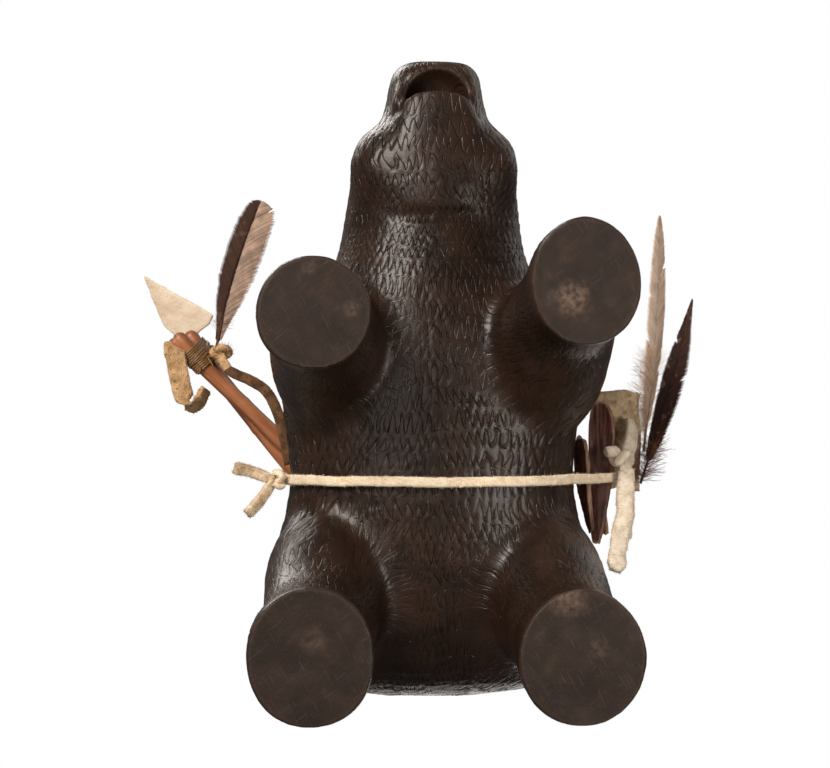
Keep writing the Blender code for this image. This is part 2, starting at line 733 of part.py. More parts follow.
def make_point_and_lashing(shop, lines):
    """The hide point above the shafts' tips, and the sinew sleeve that binds all three."""
    lower, upper = lines["lance_shaft_lower"], lines["lance_shaft_upper"]
    lower_heading, upper_heading = (lower[1] - lower[0]).normalized(), (upper[1] - upper[0]).normalized()
    heading = (lower_heading + upper_heading).normalized()
    low = lower[0] + lower_heading * LASHING_AT
    high = upper[0] + upper_heading * LASHING_AT_UPPER
    up = (high - low - heading * (high - low).dot(heading)).normalized()
    across = heading.cross(up).normalized()
    reach = (high - low).length

    plate_level = reach + SHAFT_DIAMETER / 2 + SEAT_GAP + POINT_THICKNESS / 2 + POINT_LIFT
    bm = bmesh.new()
    hub = low + up * plate_level
    bm.faces.new([bm.verts.new(hub + heading * x + across * y) for x, y in POINT_OUTLINE])
    mesh = bpy.data.meshes.new("lance_point")
    bm.to_mesh(mesh)
    bm.free()
    point = shop.add("lance_point", mesh, material("raw_hide"))
    thicken(point, POINT_THICKNESS, POINT_EDGE)

    half = SHAFT_DIAMETER / 2
    inner = half + SEAT_GAP + LASHING_EASE
    top = plate_level + POINT_THICKNESS / 2 + SEAT_GAP + LASHING_EASE
    outer = inner + LASHING_WALL
    bm = bmesh.new()
    loops = []
    for radius in (inner, outer):
        ring = []
        for x, y in oval(LASHING_POINTS, radius, radius):
            lift = max(top - inner, 0.0) if y > 0 else 0.0
            ring.append(low + across * x + up * (y + lift))
        for shift in (-0.5, 0.5):
            loops.append([bm.verts.new(p + heading * LASHING_LENGTH * shift) for p in ring])
    count = len(loops[0])
    for a, b in ((0, 1), (1, 3), (3, 2), (2, 0)):
        for i in range(count):
            j = (i + 1) % count
            bm.faces.new((loops[a][i], loops[a][j], loops[b][j], loops[b][i]))
    shop.add("point_lashing", bmesh_to_mesh(bm, "point_lashing"), material("sinew"))


def feather_mesh(base, tip, vanes, roll, bow):
    """An open cambered blade from quill end to tip."""
    spine = tip - base
    length = spine.length
    forward = spine.normalized()
    flat = forward.cross(Vector((0, 0, 1))).normalized()
    turn = Matrix.Rotation(math.radians(roll), 3, forward)
    across, lift = turn @ flat, turn @ flat.cross(forward)
    bm = bmesh.new()
    rows = []
    for i in range(FEATHER_ROWS):
        t = i / (FEATHER_ROWS - 1)
        width = float(np.interp(t, *zip(*VANE_OUTLINE)))
        centre = base + forward * length * t + across * bow * math.sin(math.pi * t)
        row = []
        for k in ACROSS:
            out = across * k * vanes[k > 0] * width
            camber = lift * FEATHER_CAMBER * width * (1 - k * k)
            row.append(bm.verts.new(centre + out + camber))
        rows.append(row)
    join_rows(bm, rows)
    return open_mesh(bm, "feather")


def make_feathers(shop):
    """Three feathers, each with its origin at its quill end, where it swings."""
    for name, f in FEATHERS.items():
        base, tip = beside(f["side"], *f["base"]), beside(f["side"], *f["tip"])
        mesh = feather_mesh(Vector((0, 0, 0)), tip - base, f["vanes"], f["roll"], f["bow"])
        piece = shop.add(name, mesh, material(f["finish"]), base)
        thicken(piece, FEATHER_THICKNESS)


def lump(shop, name, centre, radii, look):
    """A rounded knot."""
    bm = bmesh.new()
    round_, up = LUMP_SEGMENTS
    bmesh.ops.create_uvsphere(bm, u_segments=round_, v_segments=up, radius=1.0)
    for vert in bm.verts:
        vert.co = vert.co * Vector(radii)
    shop.add(name, bmesh_to_mesh(bm, name), look, centre)


def make_haft_strips(shop, lines):
    """The strip folded round the shaft's tip, the feather's tie and the thong to the flank."""
    suede = material("tan_suede")
    tip = lines["lance_shaft_lower"][0]
    path = smooth_path([tip + Vector((-x, y, z)) for x, y, z in WRAP_ROUTE], WRAP_ROWS)
    wrap = shop.add("haft_wrap", ribbon(path, blended(*WRAP_SIDES, WRAP_ROWS), WRAP_WIDTH), suede)
    thicken(wrap, WRAP_THICKNESS, WRAP_EDGE)
    x, y, z = FEATHER_TIE_CENTRE
    lump(shop, "feather_tie", tip + Vector((-x, y, z)), FEATHER_TIE_RADII, suede)
    path = smooth_path([beside(-1, *p) for p in TIE_THONG_ROUTE], TIE_THONG_ROWS)
    radii = [TIE_THONG_WIDTH / 2] * len(path)
    shop.add("lance_tie_thong", rod_mesh(path, radii, 2), material("brown_suede"))


def slip_mesh(route, width, tilt):
    """An open leaf-shaped slip along a route, tilted about it."""
    path = smooth_path(route, SLIP_ROWS)
    side = Matrix.Rotation(math.radians(tilt), 3, "Y") @ Vector((1, 0, 0))
    bm = bmesh.new()
    rows = []
    for i, p in enumerate(path):
        share = float(np.interp(i / (len(path) - 1), *zip(*SLIP_OUTLINE)))
        half = side * width / 2 * share
        curl = side.cross(Vector((0, 1, 0))).normalized() * SLIP_CURL * share
        rows.append([bm.verts.new(p + half * k - curl * k * k) for k in ACROSS])
    join_rows(bm, rows)
    return open_mesh(bm, "slip")


def make_slips(shop, body):
    """Bark slips on the left flank, each pushed out until it clears what it lies on."""
    bark = material("red_bark")
    done = [body]
    for name, slip in SLIPS.items():
        route = [beside(1, *p) for p in slip["route"]]
        mesh = slip_mesh(route, slip["width"], slip["tilt"])
        out = Vector((1, 0, 0))
        points = [v.co.copy() for v in mesh.vertices]
        moved = seat(points, SLIP_THICKNESS / 2, tree_of(*done), out)
        piece = shop.add(name, mesh, bark, out * moved)
        thicken(piece, SLIP_THICKNESS)
        done.append(piece)
    return done[1:]


def make_hide_and_drops(shop):
    """The folded hide on the left flank, its knot and the two suede ends that hang from it."""
    suede = material("pale_suede")
    rings = []
    for y, out, half_width, half_thickness in HIDE_STATIONS:
        centre = beside(1, out, y, HIDE_LEVEL)
        section = oval(HIDE_POINTS, half_width, half_thickness, HIDE_SQUARENESS)
        rings.append([centre + Vector((x, 0, z)) for x, z in section])
    bm = bmesh.new()
    loft(bm, rings)
    shop.add("hide_fold", bmesh_to_mesh(bm, "hide_fold"), material("grey_hide"))
    lump(shop, "drop_knot", beside(1, *DROP_KNOT_CENTRE), DROP_KNOT_RADII, suede)
    for name, route, width in (
        ("suede_drop_long", DROP_LONG_ROUTE, DROP_LONG_WIDTH),
        ("suede_drop_short", DROP_SHORT_ROUTE, DROP_SHORT_WIDTH),
    ):
        path = smooth_path([beside(1, *p) for p in route], DROP_ROWS)
        drop = shop.add(name, ribbon(path, blended(*DROP_SIDES, DROP_ROWS), width), suede)
        thicken(drop, DROP_THICKNESS, SUEDE_EDGE)


def section_points(trees_pieces, levels):
    """Where the pieces cross the planes Y = level, as (x, z) pairs in millimetres."""
    bpy.context.view_layer.update()
    graph = bpy.context.evaluated_depsgraph_get()
    found = []
    for piece in trees_pieces:
        seen = piece.evaluated_get(graph)
        mesh = seen.to_mesh()
        for level in levels:
            bm = bmesh.new()
            bm.from_mesh(mesh)
            bm.transform(drawing_place(seen))
            sliced = bmesh.ops.bisect_plane(
                bm, geom=bm.verts[:] + bm.edges[:] + bm.faces[:],
                plane_co=(0, level, 0), plane_no=(0, 1, 0),
            )["geom_cut"]
            found += [(v.co.x, v.co.z) for v in sliced if isinstance(v, bmesh.types.BMVert)]
            bm.free()
        seen.to_mesh_clear()
    return found


def hull(points):
    """The convex outline round (x, z) points, anticlockwise."""
    points = sorted(set(points))

    def half(run):
        kept = []
        for p in run:
            while len(kept) > 1 and (
                (kept[-1][0] - kept[-2][0]) * (p[1] - kept[-2][1])
                - (kept[-1][1] - kept[-2][1]) * (p[0] - kept[-2][0])
            ) <= 0:
                kept.pop()
            kept.append(p)
        return kept[:-1]

    return half(points) + half(reversed(points))


def tight_route(points, clearance, count):
    """A closed route of even steps round a set of points, standing off by a clearance."""
    outline = hull(points)
    grown = []
    for x, z in outline:
        for i in range(CORNER_POINTS):
            angle = 2 * math.pi * i / CORNER_POINTS
            grown.append((x + clearance * math.cos(angle), z + clearance * math.sin(angle)))
    outline = hull(grown)
    outline.append(outline[0])
    steps = np.cumsum([0.0, *(math.dist(a, b) for a, b in zip(outline, outline[1:]))])
    wanted = np.linspace(0.0, steps[-1], count, endpoint=False)
    xs = np.interp(wanted, steps, [p[0] for p in outline])
    zs = np.interp(wanted, steps, [p[1] for p in outline])
    return [Vector((float(x), 0.0, float(z))) for x, z in zip(xs, zs)]


def make_thong(shop, wrapped):
    """The belly thong, pulled tight round the body and the bundle, with its knot and cut ends."""
    suede = material("cream_suede")
    reach = THONG_WIDTH / 2 + THONG_MARGIN
    outline = section_points(wrapped, (-reach, -reach / 2, 0.0, reach / 2, reach))
    route = tight_route(outline, THONG_THICKNESS / 2 + SEAT_GAP + THONG_SLACK, THONG_POINTS)
    bm = bmesh.new()
    rows = []
    for p in route:
        rows.append([bm.verts.new(p + Vector((0, k * THONG_WIDTH / 2, 0))) for k in (-1, 0, 1)])
    join_rows(bm, rows + rows[:1])
    thong = shop.add("belly_thong", open_mesh(bm, "belly_thong"), suede)
    thicken(thong, THONG_THICKNESS, SUEDE_EDGE)

    right = [p for p in route if p.x < 0]
    spot = min(right, key=lambda p: abs(p.z - KNOT_HEIGHT * BODY_HEIGHT / DRAWN_SIZE[2]))
    centre = spot - Vector((THONG_THICKNESS / 2 + KNOT_GAP + KNOT_RADII[0], 0, 0))
    lump(shop, "thong_knot", centre, KNOT_RADII, suede)
    for name, table in (("thong_tail_front", FRONT_TAIL), ("thong_tail_rear", REAR_TAIL)):
        path = smooth_path([centre + Vector((-x, y, z)) for x, y, z in table], TAIL_ROWS)
        tail = shop.add(name, ribbon(path, blended(*TAIL_SIDES, TAIL_ROWS), TAIL_WIDTH), suede)
        thicken(tail, TAIL_THICKNESS, SUEDE_EDGE)


def main():
    """Makes every piece in the order in which the real one is put together."""
    clear_scene()
    shop = Workshop()
    body = make_bear(shop)
    make_eyes(shop, body)
    lines, shafts = make_shafts(shop, body)
    make_point_and_lashing(shop, lines)
    make_haft_strips(shop, lines)
    slips = make_slips(shop, body)
    make_hide_and_drops(shop)
    make_feathers(shop)
    make_thong(shop, [body, *shafts, *slips])


main()
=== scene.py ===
"""The finished look of a carved standing bear with a bundle tied round its middle.

The bear is a dark waxed carving with fur cut in zigzag rows. A cream suede lace ties two red canes
with a hide point and a feather to its right side, and bark slips, a folded hide, suede ends and
two feathers to its left side.

Shapes are drawn in millimetres in the model's own frame: X is the bear's left, -Y is forward, Z is
up and the soles stand on Z = 0.
"""

import json
import logging
import math
from dataclasses import dataclass, field
from enum import Enum

import bmesh
import bpy
import numpy as np
from mathutils import Matrix, Vector


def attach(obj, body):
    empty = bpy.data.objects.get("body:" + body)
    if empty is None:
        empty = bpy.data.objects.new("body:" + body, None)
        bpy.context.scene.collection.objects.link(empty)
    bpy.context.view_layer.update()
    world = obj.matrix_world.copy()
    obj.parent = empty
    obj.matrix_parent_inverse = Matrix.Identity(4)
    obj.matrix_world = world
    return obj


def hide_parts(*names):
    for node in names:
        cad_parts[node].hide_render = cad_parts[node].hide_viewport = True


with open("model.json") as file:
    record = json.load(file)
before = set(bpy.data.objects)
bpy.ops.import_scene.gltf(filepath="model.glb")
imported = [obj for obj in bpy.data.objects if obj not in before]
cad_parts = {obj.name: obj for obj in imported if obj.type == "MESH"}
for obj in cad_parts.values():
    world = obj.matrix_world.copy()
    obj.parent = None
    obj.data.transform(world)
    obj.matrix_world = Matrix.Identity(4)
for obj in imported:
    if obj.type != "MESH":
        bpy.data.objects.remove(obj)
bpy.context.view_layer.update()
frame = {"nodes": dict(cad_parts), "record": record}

MM = 0.001
log = logging.getLogger("bear")

Colour = tuple[float, float, float]
Point = tuple[float, float, float]


class Body(Enum):
    """The bodies of the model that pieces ride on."""

    BEAR = "bear"
    LANCE_FEATHER = "lance_feather_body"
    PALE_FEATHER = "pale_feather_body"
    DARK_FEATHER = "dark_feather_body"


# ---------------------------------------------------------------- numbers and noise


def unit(rows: np.ndarray) -> np.ndarray:
    """Vectors at length one."""
    return rows / np.maximum(np.linalg.norm(rows, axis=-1, keepdims=True), 1e-9)


def ease(low: float, high: float, x: np.ndarray) -> np.ndarray:
    """A smooth step from 0 at low to 1 at high.

    Args:
        low: Where the step starts; it may be above high for a falling step.
        high: Where the step ends.
        x: The values to step.

    Returns:
        Values from 0 to 1, as many as x.
    """
    t = np.clip((x - low) / (high - low), 0.0, 1.0)
    return t * t * (3 - 2 * t)


# Large primes that turn a cell's three whole numbers and the seed into one scattered number.
CELL_PRIMES = (73856093, 19349663, 83492791)
SEED_PRIME = 26544357
MIXERS = ((13, 1274126177), (15, 668265263))
HALF_RANGE = 2147483648.0


def noise(points: np.ndarray, size: float, seed: int = 0) -> np.ndarray:
    """Smooth noise in space.

    Args:
        points: Where to read it, in millimetres.
        size: The width of one lump.
        seed: Which noise.

    Returns:
        Values from -1 to 1, one a point.
    """
    cell = points / size + 0.37 * (seed + 1)
    base = np.floor(cell).astype(np.int64)
    part = cell - base
    part = part * part * (3 - 2 * part)
    total = np.zeros(len(points))
    for corner in np.ndindex(2, 2, 2):
        at = base + corner
        mixed = at[:, 0] * CELL_PRIMES[0] ^ at[:, 1] * CELL_PRIMES[1] ^ at[:, 2] * CELL_PRIMES[2]
        mixed = mixed ^ (seed + 7) * SEED_PRIME
        for shift, prime in MIXERS:
            mixed = ((mixed ^ (mixed >> shift)) * prime) & 0xFFFFFFFF
        share = np.prod(np.where(np.array(corner) == 1, part, 1 - part), axis=1)
        total += share * (mixed / HALF_RANGE - 1.0)
    return total


def layered(points: np.ndarray, size: float, seed: int = 0, layers: int = 3) -> np.ndarray:
    """Noise with finer noise on it.

    Args:
        points: Where to read it, in millimetres.
        size: The width of the largest lumps.
        seed: Which noise.
        layers: How many sizes, each half the one before.

    Returns:
        Values from about -1 to 1, one a point.
    """
    total = np.zeros(len(points))
    for i in range(layers):
        total += noise(points, size / 2**i, seed + i) / 2**i
    return total / (2 - 0.5 ** (layers - 1))


# Cuts of a curve between two of the points that it goes through.
CURVE_CUTS = 16


def distances(path: np.ndarray) -> np.ndarray:
    """How far along a path each of its points is."""
    return np.concatenate([[0.0], np.cumsum(np.linalg.norm(np.diff(path, axis=0), axis=1))])


def curve_through(points: list[Point] | np.ndarray, count: int, closed: bool = False) -> np.ndarray:
    """Evenly spaced points on a smooth curve through a few.

    Args:
        points: The points that the curve goes through.
        count: How many points to return.
        closed: Whether the curve comes back to its first point.

    Returns:
        The points, as rows.
    """
    table = np.asarray(points, float)
    if closed:
        table = np.vstack([table[-1:], table, table[:2]])
    else:
        table = np.vstack([2 * table[0] - table[1], table, 2 * table[-1] - table[-2]])
    t = np.linspace(0, 1, CURVE_CUTS, endpoint=False)[:, None]
    rows = []
    for a, b, c, d in zip(table, table[1:], table[2:], table[3:]):
        cubic = (3 * b - a - 3 * c + d) * t**3
        rows.append(0.5 * (2 * b + (c - a) * t + (2 * a - 5 * b + 4 * c - d) * t**2 + cubic))
    rows = np.vstack([*rows, table[-2:-1]])
    steps = distances(rows)
    wanted = np.linspace(0, steps[-1], count, endpoint=not closed)
    return np.stack([np.interp(wanted, steps, rows[:, k]) for k in range(3)], axis=1)


def profile(table: tuple[tuple[float, float], ...], count: int) -> np.ndarray:
    """A table of (share, value) read at even shares.

    Args:
        table: The pairs, by rising share.
        count: How many values.

    Returns:
        The values.
    """
    shares, values = zip(*table)
    return np.interp(np.linspace(0, 1, count), shares, values)


# ---------------------------------------------------------------- shapes


@dataclass
class Shape:
    """A mesh being drawn: points in millimetres, faces, and a value per point for each mark."""

    points: np.ndarray
    faces: list[tuple[int, ...]]
    marks: dict[str, np.ndarray] = field(default_factory=dict)

    def marked(self, **values: float | np.ndarray) -> "Shape":
        """Sets marks.

        Args:
            **values: A number, or a value per point, for each mark.

        Returns:
            The same shape.
        """
        for name, value in values.items():
            self.marks[name] = np.broadcast_to(np.asarray(value, float), (len(self.points),)).copy()
        return self

    def mesh(self, name: str) -> bpy.types.Mesh:
        """Mesh data in metres.

        Args:
            name: The mesh's name.

        Returns:
            The mesh, with smooth faces that point out and an attribute for each mark.
        """
        made = bpy.data.meshes.new(name)
        made.from_pydata((self.points * MM).tolist(), [], self.faces)
        made.update()
        work = bmesh.new()
        work.from_mesh(made)
        bmesh.ops.recalc_face_normals(work, faces=work.faces)
        work.to_mesh(made)
        work.free()
        for mark, values in self.marks.items():
            set_mark(made, mark, values)
        made.shade_smooth()
        return made


def set_mark(mesh: bpy.types.Mesh, name: str, values: np.ndarray) -> None:
    """Writes a value per vertex to a mesh, for its material to read."""
    mesh.attributes.new(name, "FLOAT", "POINT").data.foreach_set("value", values.astype(np.float32))


def together(shapes: list[Shape]) -> Shape:
    """Several shapes as one.

    Args:
        shapes: The shapes; a mark that one of them lacks is 0 there.

    Returns:
        The joined shape.
    """
    names = sorted({name for shape in shapes for name in shape.marks})
    faces, first = [], 0
    for shape in shapes:
        faces += [tuple(i + first for i in face) for face in shape.faces]
        first += len(shape.points)
    marks = {
        name: np.concatenate([s.marks.get(name, np.zeros(len(s.points))) for s in shapes])
        for name in names
    }
    return Shape(np.vstack([s.points for s in shapes]), faces, marks)


def across_path(path: np.ndarray, side: np.ndarray) -> tuple[np.ndarray, np.ndarray, np.ndarray]:
    """The directions along a path.

    Args:
        path: The path's points.
        side: The side direction wanted, one for all points or one for each.

    Returns:
        Forward, side and up directions at each point.
    """
    forward = unit(np.gradient(path, axis=0))
    side = np.broadcast_to(np.asarray(side, float), path.shape)
    side = unit(side - forward * np.sum(side * forward, axis=1, keepdims=True))
    return forward, side, np.cross(forward, side)


def rolled(path: np.ndarray, start: np.ndarray) -> np.ndarray:
    """Side directions that follow a path without twisting.

    Args:
        path: The path's points.
        start: The side direction wanted at the first point.

    Returns:
        A side direction at each point.
    """
    forward = unit(np.gradient(path, axis=0))
    side, rows = np.asarray(start, float), []
    for heading in forward:
        side = unit(side - heading * np.dot(side, heading))
        rows.append(side)
    return np.array(rows)


def swept(
    path: np.ndarray,
    half_width: float | np.ndarray,
    half_depth: float | np.ndarray,
    side: np.ndarray,
    square: float = 2.0,
    around: int = 16,
) -> Shape:
    """A closed body with an oval section along a path.

    Args:
        path: The middle of the body.
        half_width: Half the section's size along the side direction.
        half_depth: Half its size the other way.
        side: The side direction, one for all points or one for each.
        square: 2 for an ellipse, more for a section nearer a rectangle.
        around: Points round the section.

    Returns:
        The shape, marked with "along" and "around" in millimetres.
    """
    count = len(path)
    _, side, up = across_path(path, side)
    angle = np.linspace(0, 2 * np.pi, around, endpoint=False)
    c, s = np.cos(angle), np.sin(angle)
    x = np.sign(c) * np.abs(c) ** (2 / square)
    y = np.sign(s) * np.abs(s) ** (2 / square)
    wide = np.broadcast_to(half_width, (count,))[:, None, None]
    deep = np.broadcast_to(half_depth, (count,))[:, None, None]
    rings = path[:, None] + side[:, None] * x[None, :, None] * wide + up[:, None] * y[None, :, None] * deep
    points = np.vstack([rings.reshape(-1, 3), path[:1], path[-1:]])
    faces = []
    for i in range(count - 1):
        for j in range(around):
            k = (j + 1) % around
            faces.append((i * around + j, i * around + k, (i + 1) * around + k, (i + 1) * around + j))
    first, last, end = count * around, count * around + 1, (count - 1) * around
    for j in range(around):
        k = (j + 1) % around
        faces += [(first, k, j), (last, end + j, end + k)]
    steps = distances(path)
    girth = float(np.mean(half_width) + np.mean(half_depth)) * np.pi
    along = np.concatenate([np.repeat(steps, around), [0.0, steps[-1]]])
    round_ = np.concatenate([np.tile(np.abs(np.sin(angle / 2)) * girth, count), [0.0, 0.0]])
    return Shape(points, faces).marked(along=along, around=round_)


def doubled(grid: np.ndarray, thickness: float) -> Shape:
    """A sheet given its thickness.

    Args:
        grid: The sheet's middle, as rows of points.
        thickness: How thick it is.

    Returns:
        A closed shape.
    """
    rows, columns = grid.shape[:2]
    way = unit(np.cross(np.gradient(grid, axis=0), np.gradient(grid, axis=1))) * thickness / 2
    points = np.vstack([(grid + way).reshape(-1, 3), (grid - way).reshape(-1, 3)])
    count = rows * columns
    faces = []
    for i in range(rows - 1):
        for j in range(columns - 1):
            a, b = i * columns + j, i * columns + j + 1
            faces += [(a, b, b + columns, a + columns)]
            faces += [(count + a, count + a + columns, count + b + columns, count + b)]
    rim = list(range(columns)) + [i * columns + columns - 1 for i in range(1, rows)]
    rim += [(rows - 1) * columns + j for j in range(columns - 2, -1, -1)]
    rim += [i * columns for i in range(rows - 2, 0, -1)]
    for a, b in zip(rim, rim[1:] + rim[:1]):
        faces.append((a, count + a, count + b, b))
    return Shape(points, faces)


def normals_of(shape: Shape) -> np.ndarray:
    """The outward direction at each of a shape's points.

    Args:
        shape: The shape to read.

    Returns:
        The directions, as rows.
    """
    mesh = shape.mesh("measured")
    normals = np.zeros(len(mesh.vertices) * 3, np.float32)
    mesh.vertex_normals.foreach_get("vector", normals)
    bpy.data.meshes.remove(mesh)
    return normals.reshape(-1, 3).astype(float)


# A fibre's thickness in millimetres, and how deep its foot stands in the surface.
FIBRE_THICKNESS = 0.055
FIBRE_FOOT = 0.05


def fuzz(shape: Shape, count: int, length: float, seed: int, lean: Point = (0.0, 0.0, 0.0)) -> Shape:
    """Loose fibres that stand off a shape's surface.

    Args:
        shape: What they stand on.
        count: How many fibres.
        length: The longest, in millimetres.
        seed: Which scatter.
        lean: A direction that they lean in, longer for more.

    Returns:
        The fibres, as thin three-sided spikes.
    """
    rng = np.random.default_rng(seed)
    normals = normals_of(shape)
    picked = rng.integers(0, len(shape.points), count)
    root = shape.points[picked] - normals[picked] * FIBRE_FOOT
    out = unit(normals[picked] + rng.normal(0, 0.55, (count, 3)) + np.array(lean))
    tip = root + out * (length * rng.uniform(0.35, 1.0, count))[:, None]
    spare = unit(np.cross(out, rng.normal(0, 1, (count, 3))))
    other = np.cross(out, spare)
    thick = FIBRE_THICKNESS * rng.uniform(0.7, 1.3, count)[:, None]
    corners = [root + spare * thick, root + (other * 0.87 - spare * 0.5) * thick]
    corners += [root - (other * 0.87 + spare * 0.5) * thick, tip]
    points = np.stack(corners, axis=1).reshape(-1, 3)
    faces = []
    for i in range(0, 4 * count, 4):
        faces += [(i, i + 1, i + 3), (i + 1, i + 2, i + 3), (i + 2, i, i + 3), (i + 2, i + 1, i)]
    marks = {name: np.repeat(values[picked], 4) for name, values in shape.marks.items()}
    return Shape(points, faces, marks)


def napped(shape: Shape, depth: float, seed: int) -> Shape:
    """A soft uneven surface, as suede has.

    Args:
        shape: The shape, whose points are moved.
        depth: How far they move at most.
        seed: Which noise.

    Returns:
        The same shape.
    """
    normals = normals_of(shape)
    lift = 0.6 * layered(shape.points, 1.6, seed, 2) + 0.4 * noise(shape.points, 0.6, seed + 5)
    shape.points = shape.points + normals * (lift * depth)[:, None]
    return shape


def vertices_of(mesh: bpy.types.Mesh) -> np.ndarray:
    """A mesh's vertices.

    Args:
        mesh: The mesh, in metres.

    Returns:
        The points in millimetres, as rows.
    """
    points = np.zeros(len(mesh.vertices) * 3, np.float32)
    mesh.vertices.foreach_get("co", points)
    return points.reshape(-1, 3).astype(float) / MM


def node_points(node: str) -> np.ndarray:
    """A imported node's vertices, in millimetres."""
    return vertices_of(frame["nodes"][node].data)


def refined(node: str, voxel: float, smoothing: int) -> Shape:
    """A fine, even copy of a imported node, to carve or soften.

    Args:
        node: The node's name.
        voxel: The size of the copy's faces, in millimetres.
        smoothing: How many times each point moves towards its neighbours.

    Returns:
        The copy.
    """
    holder = bpy.data.objects.new("holder", frame["nodes"][node].data.copy())
    bpy.context.scene.collection.objects.link(holder)
    step = holder.modifiers.new("even", "REMESH")
    step.mode = "VOXEL"
    step.voxel_size = voxel * MM
    bpy.context.view_layer.update()
    graph = bpy.context.evaluated_depsgraph_get()
    mesh = bpy.data.meshes.new_from_object(holder.evaluated_get(graph))
    shape = Shape(vertices_of(mesh), [tuple(f.vertices) for f in mesh.polygons])
    bpy.data.objects.remove(holder, do_unlink=True)
    bpy.data.meshes.remove(mesh)
    return softened(shape, smoothing)


def edge_pairs(shape: Shape) -> np.ndarray:
    """The pairs of points that share an edge.

    Args:
        shape: The shape to read.

    Returns:
        The pairs, both ways round.
    """
    pairs = np.array([(a, b) for face in shape.faces for a, b in zip(face, face[1:] + face[:1])])
    return np.unique(np.vstack([pairs, pairs[:, ::-1]]), axis=0)


def neighbour_mean(values: np.ndarray, pairs: np.ndarray) -> np.ndarray:
    """The mean of each point's neighbours.

    Args:
        values: A row for each point.
        pairs: The edges, both ways round.

    Returns:
        The means, one row for each point.
    """
    count = np.maximum(np.bincount(pairs[:, 0], minlength=len(values)), 1)
    sums = [
        np.bincount(pairs[:, 0], weights=values[pairs[:, 1], k], minlength=len(values))
        for k in range(values.shape[1])
    ]
    return np.stack(sums, axis=1) / count[:, None]


def softened(shape: Shape, times: int, weight: float | np.ndarray = 1.0) -> Shape:
    """The shape with its points drawn towards their neighbours.

    Args:
        shape: The shape, whose points are moved.
        times: How many passes.
        weight: From 0, where points stay, to 1; one number or one a point.

    Returns:
        The same shape.
    """
    if times:
        pairs = edge_pairs(shape)
        share = 0.5 * np.broadcast_to(weight, (len(shape.points),))[:, None]
        for _ in range(times):
            shape.points = shape.points + share * (neighbour_mean(shape.points, pairs) - shape.points)
    return shape


def edge_mark(shape: Shape, reach: float) -> np.ndarray:
    """How much each point stands out from the surface round it.

    Args:
        shape: The shape to read.
        reach: The standing-out, in millimetres, that counts as 1.

    Returns:
        Values from 0 to 1, one a point.
    """
    pairs = edge_pairs(shape)
    mean = shape.points
    for _ in range(4):
        mean = neighbour_mean(mean, pairs)
    out = np.sum((shape.points - mean) * normals_of(shape), axis=1)
    return ease(0.15 * reach, reach, out)


def place(shape: Shape, name: str, finish: "Finish", body: Body, *nodes: str) -> bpy.types.Object:
    """Puts a finished shape in the model.

    Args:
        shape: The shape.
        name: The piece's name.
        finish: What it is made of.
        body: The body that it moves with.
        *nodes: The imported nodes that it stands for.

    Returns:
        The piece.
    """
    piece = bpy.data.objects.new(name, shape.mesh(name))
    bpy.context.scene.collection.objects.link(piece)
    piece.data.materials.append(finish.material())
    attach(piece, body.value)
    if nodes:
        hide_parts(*nodes)
    log.info("%s: %d points on %s", name, len(shape.points), body.value)
    return piece


# ---------------------------------------------------------------- materials


